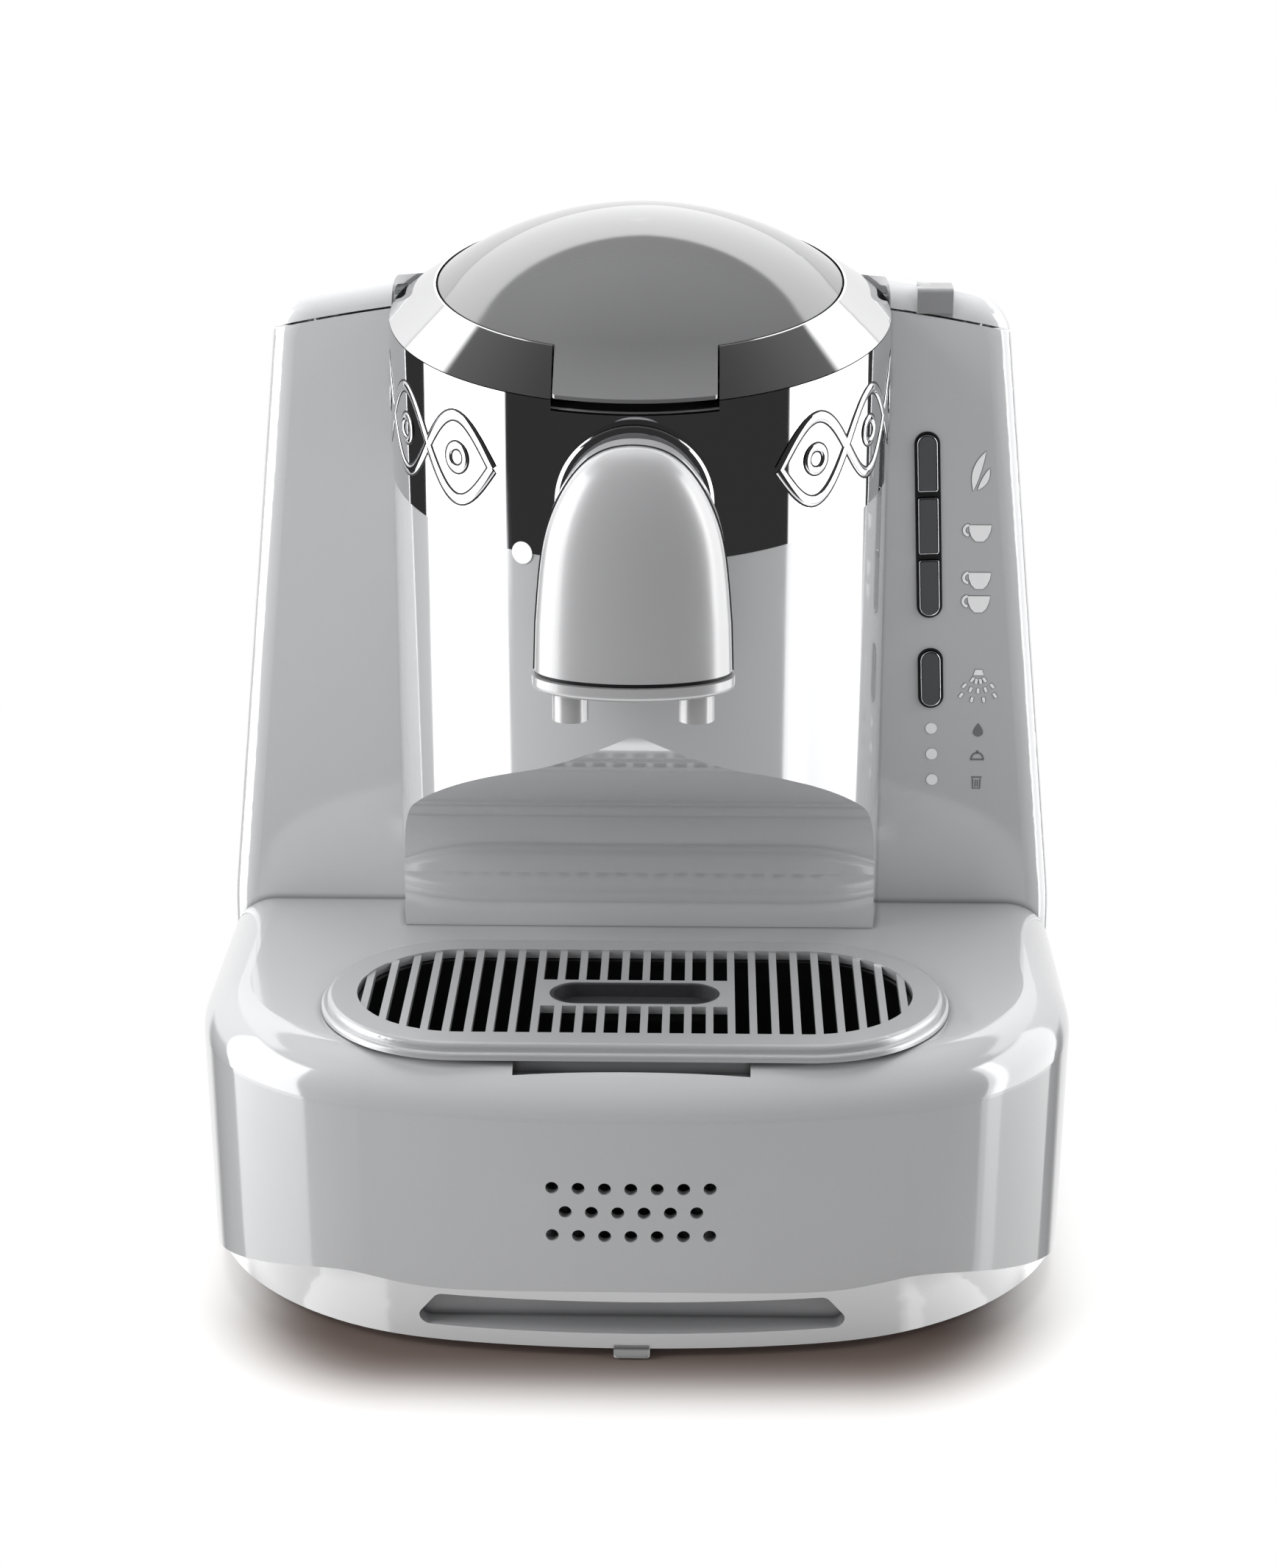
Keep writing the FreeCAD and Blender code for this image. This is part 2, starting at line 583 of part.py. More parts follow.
def tower_outline(inset, y):
    """Section through the tower across the machine: leaning sides and an arched top."""
    lean = Vector(mm.shoulder_width / 2 - half_width, 0, mm.shoulder_height - mm.deck_height)
    lean.normalize()
    inward = Vector(-lean.z, 0, lean.x)
    start = Vector(half_width, 0, mm.deck_height) + inward * inset
    width = half_width - inset
    knee = start + lean * ((width - start.x) / lean.x)
    bow = mm.crown_bow - inset
    crown_centre = Vector(0, 0, mm.crown_height - mm.crown_bow - roof_fall(y))
    corner = mm.shoulder_radius - inset
    # centre of the upper corner: one radius in from the side and from the arched top
    track = start + inward * corner - crown_centre
    reach = bow - corner
    half_b = track.dot(lean)
    along = -half_b + math.sqrt(half_b ** 2 - track.dot(track) + reach ** 2)
    centre = crown_centre + track + lean * along
    side_touch = centre - inward * corner
    up = centre - crown_centre
    crown_angle = math.atan2(up.z, up.x)
    side_angle = math.atan2(-inward.z, -inward.x)
    foot = Vector(width, 0, mm.seam_height)
    bend = mm.foot_bend - inset
    lean_angle = lean.getAngle(Vector(0, 0, 1))
    bend_start = knee - Vector(0, 0, bend * math.tan(lean_angle / 2))
    bend_centre = bend_start - Vector(bend, 0, 0)
    bend_edge = upright_arc(bend_centre, bend, 0, lean_angle)
    bend_end = bend_edge.Vertexes[-1].Point
    right = [line(foot, bend_start), bend_edge, line(bend_end, side_touch),
             upright_arc(centre, corner, side_angle, crown_angle)]
    mirror = FreeCAD.Matrix(-1, 0, 0, 0, 0, 1, 0, 0, 0, 0, 1, 0, 0, 0, 0, 1)
    left = [edge.transformGeometry(mirror) for edge in reversed(right)]
    crown = upright_arc(crown_centre, bow, crown_angle, math.pi - crown_angle)
    ground = line(Vector(-width, 0, mm.seam_height), foot)
    outline = Part.Wire(Part.__sortEdges__(right + [crown] + left + [ground]))
    outline.translate(Vector(0, y, 0))
    return outline


def tower_solid(inset, front_inset=None):
    """The tower with its top cover as one solid, shrunk by an inset."""
    start = tower_y + (inset if front_inset is None else front_inset)
    end = tower_back - inset
    solid = Part.makeLoft([tower_outline(inset, start), tower_outline(inset, end)], True, True)

    def loop(shape, y):
        found = []
        for edge in shape.Edges:
            flat = all(abs(point.Y - y) < 1e-4 for point in edge.Vertexes)
            low = all(abs(point.Z - mm.seam_height) < 1e-4 for point in edge.Vertexes)
            if flat and not low:
                found.append(edge)
        return found

    solid = solid.makeFillet(mm.tower_edge - inset, loop(solid, start))
    return solid.makeFillet(mm.rear_radius - inset, loop(solid, end))


def under_seam(gap):
    """Everything below the arched seam of the top cover, less a gap: a cylinder that leans with the roof."""
    slope = math.radians(mm.roof_slope)
    bow = mm.crown_bow - mm.seam_drop - gap

    def axis_at(y):
        crest = mm.crown_height - mm.seam_drop - gap - roof_fall(y)
        return Vector(0, y, crest - bow / math.cos(slope) ** 2)

    return rod(axis_at(-FAR), axis_at(FAR), bow / math.cos(slope))


tower_full = tower_solid(0)
tower_hollow = tower_solid(mm.wall)
tower_skin = tower_full.cut(tower_hollow)


def column_tool(radius, low, high):
    """Upright cylinder on the column's axis."""
    return Part.makeCylinder(radius, high - low, Vector(0, column_y, low))


def button_x(level):
    """Distance of the leaning button row from the centre plane at a height."""
    return mm.button_offset + (mm.button_level - level) * math.tan(math.radians(mm.button_lean))


def on_panel(shape, level):
    """Moves a shape made round the origin to the button row at a height and leans it."""
    turned = shape.copy()
    turned.rotate(Vector(0, 0, 0), Vector(0, 1, 0), -mm.button_lean)
    turned.translate(Vector(button_x(level), tower_y, level))
    return turned


def rounded_bar(width, length, front, back, top_radius, bottom_radius):
    """Upright bar through the panel, with its upper and lower corners rounded apart."""
    bar = box(Vector(-width / 2, front, -length / 2), Vector(width / 2, back, length / 2))

    def ends(shape, sign):
        return [e for e in shape.Edges if abs(e.tangentAt(e.FirstParameter).y) > 0.99
                and e.CenterOfMass.z * sign > 0]

    bar = bar.makeFillet(top_radius, ends(bar, 1))
    return bar.makeFillet(bottom_radius, ends(bar, -1))


upper_length = 2 * mm.button_pitch + mm.button_length + 2 * (mm.button_gap + mm.frame_rim)
lower_length = mm.button_length + 2 * (mm.button_gap + mm.frame_rim)
frame_width = mm.button_width + 2 * (mm.button_gap + mm.frame_rim)
round_end = frame_width / 2 - 0.02
led_levels = [mm.led_level + step * mm.led_pitch for step in (-1, 0, 1)]
button_levels = {
    "warm": mm.button_level + mm.button_pitch,
    "one_cup": mm.button_level,
    "two_cups": mm.button_level - mm.button_pitch,
    "clean": mm.clean_level,
}


def tower():
    """Tower shell with its openings for column, buttons, lamps and tank."""
    shell = tower_skin.common(under_seam(mm.seam_gap))
    tools = [column_tool(mm.column_radius + mm.band_proud + mm.fit_gap / 3, mm.deck_height, FAR)]
    grow = 2 * mm.running_gap
    for length, level in ((upper_length, mm.button_level), (lower_length, mm.clean_level)):
        opening = rounded_bar(frame_width + grow, length + grow, -5, 5, round_end, round_end)
        tools.append(on_panel(opening, level))
    for level in led_levels:
        tools.append(rod(Vector(button_x(level), tower_y - 5, level),
                         Vector(button_x(level), tower_y + 5, level), mm.led_radius + mm.running_gap))
    tools.append(box(Vector(-mm.tank_half - 1, tower_back - 8, mm.tank_base),
                     Vector(mm.tank_half + 1, back_y + 5, FAR)))
    tools.append(box(Vector(-mm.service_width / 2 - mm.running_gap, tower_back - mm.service_thickness,
                            mm.service_low - mm.running_gap),
                     Vector(mm.service_width / 2 + mm.running_gap, back_y + 5,
                            mm.service_high + mm.running_gap)))
    vents = []
    for index in range(-6, 7):
        vents.append(box(Vector(index * 9 - 1.5, tower_back - 6, mm.service_low + 4),
                         Vector(index * 9 + 1.5, back_y, mm.service_high - 4)))
    return shell.cut(tools + vents)


feature("tower_shell", tower())


def service_cover():
    """Vented plate at the back, let into the tower."""
    plate = box(Vector(-mm.service_width / 2, tower_back - mm.service_thickness, mm.service_low),
                Vector(mm.service_width / 2, tower_back, mm.service_high))
    plate = plate.makeFillet(3, [e for e in plate.Edges if abs(e.tangentAt(e.FirstParameter).y) > 0.99])
    cuts = []
    for index in range(-6, 7):
        cuts.append(box(Vector(index * 9 - 1.5, tower_back - 6, mm.service_low + 4),
                        Vector(index * 9 + 1.5, back_y, mm.service_high - 4)))
    for x in (-mm.service_width / 2 + 7, mm.service_width / 2 - 7):
        z = (mm.service_low + mm.service_high) / 2
        cuts.append(rod(Vector(x, tower_back - 5, z), Vector(x, back_y, z), 1.6 + mm.running_gap))
    return plate.cut(cuts)


feature("service_cover", service_cover())

back_screws = []
for side in (-1, 1):
    at = Vector(side * (mm.service_width / 2 - 7), tower_back, (mm.service_low + mm.service_high) / 2)
    shape = rod(at - Vector(0, mm.service_thickness, 0), at, 1.6)
    shape = shape.fuse(rod(at, at + Vector(0, 1.1, 0), 3))
    slot = box(Vector(-2.2, 0.5, -0.4), Vector(2.2, 2, 0.4))
    slot.translate(at)
    screw = doc.addObject("Part::Feature", "service_screw")
    screw.Shape = shape.cut(slot)
    back_screws.append(screw)
group("service_screws", back_screws)

# Brewing column. Its rim, band and lid share a tilted frame: the origin on the column's axis at
# the rim, y towards the hinge and z away from the rim.
tilt = Rotation(Vector(1, 0, 0), mm.rim_tilt)
rim_frame = Placement(Vector(0, column_y, mm.rim_height), tilt)
tilt_cos = math.cos(math.radians(mm.rim_tilt))


def in_rim_frame(shape, lift=0):
    """Moves a shape from the tilted rim frame to the machine's frame."""
    moved = shape.copy()
    moved.Placement = Placement(Vector(0, column_y, mm.rim_height + lift), tilt).multiply(moved.Placement)
    return moved


def above_rim(lift):
    """Everything above a plane parallel to the rim, at a height measured on the axis."""
    slab = box(Vector(-FAR, -FAR, 0), Vector(FAR, FAR, FAR))
    return in_rim_frame(slab, lift)


def scoop(grow):
    """The hollow under the column's front, over the cups, grown into the column by a wall."""
    top_y = column_y - mm.column_radius
    slope = math.radians(mm.scoop_slope)
    turn = mm.scoop_turn
    turn_centre = Vector(0, top_y + turn, mm.scoop_height)
    back = front_y + mm.scoop_back
    hollow = mm.scoop_hollow
    # the ceiling is the straight line between the upper turn and the hollow, tangent to both
    ceiling_start = turn_centre + Vector(0, -turn * math.cos(slope), -turn * math.sin(slope))
    along = Vector(0, math.sin(slope), -math.cos(slope))
    outward = Vector(0, -math.cos(slope), -math.sin(slope))
    # the hollow's centre lies in front of the back wall by its radius and under the ceiling
    reach = (back - hollow - ceiling_start.y - hollow * outward.y) / along.y
    ceiling_end = ceiling_start + along * reach
    hollow_centre = ceiling_end + outward * hollow
    foot = mm.deck_height - 30
    edges = []

    def side_arc(centre, radius, start, end):
        def at(angle):
            return centre + Vector(0, radius * math.cos(angle), radius * math.sin(angle))
        return Part.Arc(at(start), at((start + end) / 2), at(end)).toShape()

    upper = turn - grow
    lower = hollow + grow
    start_angle = math.pi
    end_angle = math.pi + slope
    edges.append(side_arc(turn_centre, upper, start_angle, end_angle))
    first = turn_centre + Vector(0, -upper, 0)
    joint = turn_centre + Vector(0, upper * math.cos(end_angle), upper * math.sin(end_angle))
    joint_low = hollow_centre - outward * lower
    edges.append(line(joint, joint_low))
    low_start = math.atan2(-outward.z, -outward.y)
    edges.append(side_arc(hollow_centre, lower, low_start, 0))
    wall_top = hollow_centre + Vector(0, lower, 0)
    wall_foot = Vector(0, wall_top.y, foot)
    outside = Vector(0, top_y - 60, foot)
    outside_top = Vector(0, top_y - 60, mm.scoop_height)
    edges += [line(wall_top, wall_foot), line(wall_foot, outside),
              line(outside, outside_top), line(outside_top, first)]
    face = Part.Face(Part.Wire(edges))
    face.translate(Vector(-FAR / 2, 0, 0))
    return face.extrude(Vector(FAR, 0, 0))


band_inner = mm.column_radius + mm.band_proud - mm.band_thickness
tab_half = mm.tab_width / 2
notch_half = tab_half + mm.tab_gap
notch = in_rim_frame(box(Vector(-notch_half, -FAR, -mm.tab_drop), Vector(notch_half, -50, FAR)))
spout_hole = rod(Vector(0, column_y - mm.column_radius - 20, mm.spout_level),
                 Vector(0, column_y, mm.spout_level), mm.tube_radius + mm.running_gap)
window_turn = math.radians(mm.window_angle)
window_out = Vector(-math.sin(window_turn), -math.cos(window_turn), 0)
window_axis = Vector(0, column_y, mm.window_height)


def radial(start, end, radius):
    """Cylinder along the sensor window's axis between two distances from the column's axis."""
    return rod(window_axis + window_out * start, window_axis + window_out * end, radius)


window_hole = radial(mm.column_radius - 8, mm.column_radius + 8, mm.window_radius + mm.running_gap)


def column():
    """Column sleeve: a tube whose lower front turns under to leave room for the cups."""
    low, high = mm.deck_height + mm.running_gap, mm.rim_height + 30
    outer = column_tool(mm.column_radius, low, high).cut(scoop(0))
    seat = above_rim(-mm.band_height)
    waist = column_tool(band_inner - mm.running_gap, low, high)
    outer = outer.cut(seat).fuse(waist.common(outer)).removeSplitter()
    inner = column_tool(mm.column_radius - mm.column_wall, low - 1, high + 1).cut(scoop(mm.column_wall))
    shell = outer.cut(inner)
    return shell.cut([above_rim(-mm.fit_gap), notch, spout_hole, window_hole])


feature("column_sleeve", column())


def chrome_band():
    """Bright band around the column's head, cut level with the tilted rim."""
    low, high = mm.rim_height - mm.band_height - 30, mm.rim_height + 30
    ring = column_tool(mm.column_radius + mm.band_proud, low, high)
    ring = ring.cut(column_tool(band_inner, low - 1, high + 1))
    ring = ring.common(above_rim(-mm.band_height + mm.running_gap))
    return ring.cut([above_rim(-mm.fit_gap), notch, spout_hole, window_hole])


feature("chrome_band", chrome_band())


def ring_wire(radius_x, radius_y, height):
    """Closed round or oval wire in the rim frame."""
    centre = Vector(0, 0, height)
    if abs(radius_x - radius_y) < 1e-6:
        return Part.Wire([Part.makeCircle(radius_x, centre)])
    oval = Part.Ellipse(Vector(0, radius_y, height), Vector(radius_x, 0, height), centre)
    return Part.Wire([oval.toShape()])


hinge_at = Vector(0, mm.hinge_setback, mm.hinge_rise)
ear_start = mm.knuckle_width / 2 + mm.fit_gap
ear_end = ear_start + mm.ear_width


def hinge_bore(half_length):
    """Bore for the brew lid's pin, in the rim frame."""
    return rod(hinge_at - Vector(half_length, 0, 0), hinge_at + Vector(half_length, 0, 0),
               mm.pin_radius + mm.running_gap)


def bezel():
    """Conical bright ring around the lid, with its skirt and the hinge's ears."""
    edge = mm.column_radius + mm.band_proud
    top = mm.bezel_opening + mm.bezel_land
    cone = Part.makeLoft([ring_wire(edge, edge / tilt_cos, 0), ring_wire(top, top, mm.bezel_rise)],
                         True, True)
    skirt_radius = mm.bezel_opening + 3.4
    skirt = Part.makeCylinder(skirt_radius, mm.skirt_depth + 1, Vector(0, 0, -mm.skirt_depth))
    ring = cone.fuse(skirt)
    ears = []
    for low, high in ((-ear_end, -ear_start), (ear_start, ear_end)):
        eye = rod(hinge_at + Vector(low, 0, 0), hinge_at + Vector(high, 0, 0), mm.knuckle_radius)
        stand = box(Vector(low, hinge_at.y - mm.knuckle_radius, 2),
                    Vector(high, hinge_at.y + mm.knuckle_radius, hinge_at.z))
        ears += [eye, stand]
    ring = ring.fuse(ears)
    opening = Part.makeCylinder(mm.bezel_opening, 60, Vector(0, 0, -30))
    ears_room = box(Vector(-ear_start, mm.bezel_opening - 3, hinge_at.z - mm.knuckle_radius - 1),
                    Vector(ear_start, hinge_at.y + mm.knuckle_radius + 6, 40))
    ring = ring.cut([opening, hinge_bore(40), ears_room])
    tab_cut = box(Vector(-notch_half, -FAR, -mm.tab_drop), Vector(notch_half, -50, FAR))
    return ring.cut(tab_cut)


feature("bezel_ring", bezel(), rim_frame)


def tab_rest():
    """Dark block inside the rim on which the lid's tab comes down."""
    inside = mm.column_radius - mm.column_wall - mm.fit_gap
    block = box(Vector(-notch_half + 0.2, -FAR / 4, -mm.tab_drop - 2.5), Vector(notch_half - 0.2, -60.2, -mm.tab_drop))
    block = in_rim_frame(block)
    return block.common(column_tool(inside, 0, FAR))


feature("tab_rest", tab_rest())

lid_radius = mm.bezel_opening - mm.lid_clearance
dome_chord = lid_radius
dome_radius = (dome_chord ** 2 + mm.dome_rise ** 2) / (2 * mm.dome_rise)
dome_centre = mm.bezel_rise + mm.dome_rise - dome_radius


def dome(radius, base, low):
    """Domed disc: a cap of a sphere on a short rim, in the rim frame."""
    ball = Part.makeSphere(dome_radius - (lid_radius - radius), Vector(0, 0, dome_centre))
    plug = Part.makeCylinder(radius, 80, Vector(0, 0, low))
    cap = ball.common(plug)
    if low < base:
        cap = cap.cut(box(Vector(-FAR, -FAR, -FAR), Vector(FAR, FAR, low)))
    return cap


def tab():
    """Tongue that carries the dome's curve on over the bezel and flattens towards the front."""
    lean = math.asin((lid_radius - 1) / dome_radius)
    leave = Vector(0, -dome_radius * math.sin(lean), dome_centre + dome_radius * math.cos(lean))
    normal = Vector(0, -math.sin(lean), math.cos(lean))
    tip = Vector(0, -(mm.column_radius + mm.tab_reach) / tilt_cos, mm.tab_tip)
    chord = tip - leave
    bend = chord.dot(chord) / (2 * chord.dot(normal))
    centre = leave + normal * bend
    beyond = math.atan2(tip.z - centre.z, tip.y - centre.y) - math.radians(4)

    def on_bend(angle):
        return centre + Vector(0, bend * math.cos(angle), bend * math.sin(angle))

    start = lean - math.pi / 2
    front = on_bend(beyond)
    top = Part.Arc(leave, on_bend((start + beyond) / 2), front).toShape()
    rim_low = mm.bezel_rise - mm.lid_rim
    inside = 1 - lid_radius + 2 * mm.lid_wall
    corners = [front, Vector(0, front.y, front.z - mm.tab_front), Vector(0, -lid_radius - 1, rim_low + 1),
               Vector(0, 1 - lid_radius, rim_low), Vector(0, inside, rim_low), Vector(0, inside, leave.z), leave]
    profile = [top] + [line(one, other) for one, other in zip(corners, corners[1:])]
    face = Part.Face(Part.Wire(profile))
    face.rotate(Vector(0, 0, 0), Vector(0, 0, 1), -30)
    blade = face.revolve(Vector(0, 0, 0), Vector(0, 0, 1), 60)
    limit = Part.makeCylinder(mm.column_radius + mm.tab_reach, 200, Vector(0, 0, -100))
    limit.rotate(Vector(0, 0, 0), Vector(1, 0, 0), -mm.rim_tilt)
    strip = box(Vector(-tab_half, -FAR, -20), Vector(tab_half, -lid_radius / 2, 40))
    blade = blade.common(strip).common(limit)
    edges = [e for e in blade.Edges if abs(abs(e.CenterOfMass.x) - tab_half) < 0.05
             and e.CenterOfMass.y < -lid_radius and e.BoundBox.YLength < 0.5]
    return blade.makeFillet(mm.tab_corner, edges)


def brew_lid():
    """Domed lid with its front tab and hinge knuckle, in the rim frame."""
    outer = dome(lid_radius, mm.bezel_rise, mm.bezel_rise - mm.lid_rim)
    inner = dome(lid_radius - mm.lid_wall, mm.bezel_rise, -20)
    knuckle = rod(hinge_at - Vector(mm.knuckle_width / 2, 0, 0), hinge_at + Vector(mm.knuckle_width / 2, 0, 0),
                  mm.knuckle_radius)
    arm = box(Vector(-mm.knuckle_width / 2, lid_radius - 9, mm.bezel_rise - 2.5),
              Vector(mm.knuckle_width / 2, hinge_at.y, hinge_at.z + mm.knuckle_radius - 0.4))
    shell = outer.fuse([arm, knuckle, tab()])
    shell = shell.cut([inner, hinge_bore(40)])
    solids = sorted(shell.Solids, key=lambda solid: solid.Volume)
    return solids[-1].removeSplitter()


feature("brew_lid", brew_lid(), rim_frame)

liner_radius = lid_radius - mm.lid_wall - mm.running_gap


def lid_liner():
    """Disc that closes the lid from below, with a groove for the seal."""
    low = mm.bezel_rise - mm.lid_rim - 2
    disc = Part.makeCylinder(liner_radius, 2, Vector(0, 0, mm.bezel_rise - mm.lid_rim))
    boss = Part.makeCylinder(liner_radius - 4, 3, Vector(0, 0, low))
    return disc.fuse(boss)


feature("lid_liner", lid_liner(), rim_frame)

seal = doc.addObject("Part::Torus", "lid_seal")
bind(seal, {"Radius1": "Sizes.bezel_opening - Sizes.lid_clearance - Sizes.lid_wall - Sizes.running_gap - 2.2",
            "Radius2": "1.1"})
seal.Placement.Rotation = tilt
SEAL_LEVEL = "(Sizes.bezel_rise - Sizes.lid_rim - 1.15)"
place(seal, "0", f"{COLUMN} - {SEAL_LEVEL} * sin(Sizes.rim_tilt * 1 deg)",
      f"Sizes.rim_height + {SEAL_LEVEL} * cos(Sizes.rim_tilt * 1 deg)")
keep(seal, "lid_seal")

pin = doc.addObject("Part::Cylinder", "lid_hinge_pin")
bind(pin, {"Radius": "Sizes.pin_radius",
           "Height": "Sizes.knuckle_width + 2 * (Sizes.fit_gap + Sizes.ear_width)"})
pin.Placement.Rotation = Rotation(Vector(0, 1, 0), 90)
place(pin, "-(Sizes.knuckle_width / 2 + Sizes.fit_gap + Sizes.ear_width)",
      f"{COLUMN} + Sizes.hinge_setback * cos(Sizes.rim_tilt * 1 deg)"
      " - Sizes.hinge_rise * sin(Sizes.rim_tilt * 1 deg)",
      "Sizes.rim_height + Sizes.hinge_setback * sin(Sizes.rim_tilt * 1 deg)"
      " + Sizes.hinge_rise * cos(Sizes.rim_tilt * 1 deg)")
keep(pin, "lid_hinge_pin")


def funnel():
    """Ring that leads from the lid's opening down to the pot."""
    top_outer, top_inner = mm.bezel_opening - 0.2, mm.bezel_opening - 2.2
    level = mm.pot_top + mm.running_gap

    def flat(radius):
        return Part.Wire([Part.makeCircle(radius, Vector(0, column_y, level))])

    def tilted(radius, lift):
        wire = Part.Wire([Part.makeCircle(radius, Vector(0, 0, lift))])
        return in_rim_frame(wire)

    lift = -0.4
    outer = Part.makeLoft([flat(mm.pot_radius + 2), tilted(top_outer, lift)], True, True)
    inner = Part.makeLoft([flat(mm.pot_radius - mm.pot_wall), tilted(top_inner, lift)], True, True)
    return outer.cut(inner)


feature("chamber_funnel", funnel())


def new_body(label):
    """Part design body that becomes a node."""
    return keep(doc.addObject("PartDesign::Body", label), label)


def origin_plane(body, role):
    """One of a body's own origin planes."""
    return [plane for plane in body.Origin.OriginFeatures if plane.Role == role][0]


def new_sketch(body, name, role, offset="0"):
    """Sketch on one of the body's origin planes, lifted by a rule."""
    sketch = body.newObject("Sketcher::SketchObject", name)
    sketch.AttachmentSupport = [(origin_plane(body, role), "")]
    sketch.MapMode = "FlatFace"
    sketch.setExpression("AttachmentOffset.Base.z", offset)
    return sketch


def draw_polygon(sketch, corners):
    """Closed run of straight lines whose corners are bound to rules."""
    count = len(corners)
    points = [Vector(number(across), number(up), 0) for across, up in corners]
    first = sketch.GeometryCount
    for index in range(count):
        sketch.addGeometry(Part.LineSegment(points[index], points[(index + 1) % count]), False)
    for index in range(count):
        sketch.addConstraint(Sketcher.Constraint("Coincident", first + index, 2,
                                                 first + (index + 1) % count, 1))
    for index, (across, up) in enumerate(corners):
        for kind, rule in (("DistanceX", across), ("DistanceY", up)):
            value = points[index].x if kind == "DistanceX" else points[index].y
            at = sketch.addConstraint(Sketcher.Constraint(kind, -1, 1, first + index, 1, value))
            sketch.setExpression(f"Constraints[{at}]", rule)


def draw_circle(sketch, radius, across="0", up="0"):
    """Circle whose radius and centre are bound to rules."""
    centre = Vector(number(across), number(up), 0)
    at = sketch.addGeometry(Part.Circle(centre, Vector(0, 0, 1), number(radius)), False)
    for kind, rule, value in (("DistanceX", across, centre.x), ("DistanceY", up, centre.y)):
        spot = sketch.addConstraint(Sketcher.Constraint(kind, -1, 1, at, 3, value))
        sketch.setExpression(f"Constraints[{spot}]", rule)
    spot = sketch.addConstraint(Sketcher.Constraint("Radius", at, number(radius)))
    sketch.setExpression(f"Constraints[{spot}]", radius)


def pad(body, sketch, name, length, reverse=False):
    """Pad whose length is bound to a rule."""
    step = body.newObject("PartDesign::Pad", name)
    step.Profile = sketch
    step.Reversed = reverse
    step.setExpression("Length", length)
    return step


def revolve(body, sketch, name):
    """Full turn of a profile about the sketch's upright axis."""
    step = body.newObject("PartDesign::Revolution", name)
    step.Profile = sketch
    step.ReferenceAxis = (sketch, ["V_Axis"])
    step.Angle = 360
    return step


# Brewing pot: a turned cup with a flange, hung in its carrier
pot = new_body("brew_pot")
pot_profile = new_sketch(pot, "pot_profile", "XZ_Plane")
POT_HEIGHT = "(Sizes.pot_top - Sizes.pot_base)"
draw_polygon(pot_profile, [
    ("0", "0"), ("Sizes.pot_radius", "0"), ("Sizes.pot_radius", f"{POT_HEIGHT} - Sizes.pot_wall"),
    ("Sizes.pot_flange", f"{POT_HEIGHT} - Sizes.pot_wall"), ("Sizes.pot_flange", POT_HEIGHT),
    ("Sizes.pot_radius - Sizes.pot_wall", POT_HEIGHT),
    ("Sizes.pot_radius - Sizes.pot_wall", "Sizes.pot_wall"), ("0", "Sizes.pot_wall")])
revolve(pot, pot_profile, "pot_turning")
doc.recompute()
pot_hole = new_sketch(pot, "pot_hole", "XZ_Plane")
draw_circle(pot_hole, "Sizes.tube_radius + Sizes.running_gap", "0", "Sizes.spout_level - Sizes.pot_base")
pour_hole = pot.newObject("PartDesign::Pocket", "pour_hole")
pour_hole.Profile = pot_hole
pour_hole.setExpression("Length", "Sizes.pot_radius + 5")
pour_hole.Reversed = True
place(pot, "0", COLUMN, "Sizes.pot_base")
doc.recompute()
if pot.Shape.BoundBox.YMin > column_y - mm.pot_radius + 1e-3:
    raise RuntimeError("the pot is not where it belongs")

carrier = new_body("pot_carrier")
carrier_sketch = new_sketch(carrier, "carrier_outline", "XY_Plane")
draw_circle(carrier_sketch, "Sizes.column_radius - Sizes.column_wall - Sizes.fit_gap")
draw_circle(carrier_sketch, "Sizes.pot_radius + Sizes.fit_gap")
pad(carrier, carrier_sketch, "carrier_ring", "Sizes.carrier_thickness")
place(carrier, "0", COLUMN, "Sizes.pot_top - Sizes.pot_wall - Sizes.carrier_thickness - 0.02")

heater = new_body("pot_heater")
heater_sketch = new_sketch(heater, "heater_outline", "XY_Plane")
draw_circle(heater_sketch, "Sizes.heater_radius")
pad(heater, heater_sketch, "heater_disc", "Sizes.heater_thickness")
place(heater, "0", COLUMN, "Sizes.pot_base - Sizes.heater_thickness - 0.05")

# Pouring tube through column and band, and the spout in front
column_front = column_y - mm.column_radius - mm.band_proud
spout_rear = column_front - mm.neck_length
cover_rear = spout_rear - mm.spout_back


def pour_tube():
    """Tube from the pot's wall to the spout's rear shell."""
    start = Vector(0, column_y - math.sqrt((mm.pot_radius - mm.pot_wall) ** 2 - mm.tube_radius ** 2),
                   mm.spout_level)
    end = Vector(0, spout_rear - mm.spout_wall, mm.spout_level)
    return rod(start, end, mm.tube_radius).cut(rod(start, end, mm.tube_radius - mm.tube_wall))


feature("pour_tube", pour_tube())


def ring_on_column(outer, inner, reach, rounding):
    """Ring around the pouring tube that sits on the band's curved face."""
    behind = Vector(0, column_y - mm.column_radius + 12, mm.spout_level)
    ahead = Vector(0, column_front - reach, mm.spout_level)
    solid = rod(behind, ahead, outer)
    rim = [e for e in solid.Edges if abs(e.CenterOfMass.y - ahead.y) < 1e-3 and len(e.Vertexes) == 1]
    if rounding > 0:
        solid = solid.makeFillet(rounding, rim)
    seat = column_tool(mm.column_radius + mm.band_proud + mm.running_gap, 0, FAR)
    return solid.cut([rod(behind, ahead, inner), seat])


feature("spout_collar", ring_on_column(mm.collar_radius, mm.neck_radius + mm.running_gap, mm.collar_reach, 2))
feature("spout_neck", ring_on_column(mm.neck_radius, mm.tube_radius + mm.running_gap, mm.neck_length, 0))


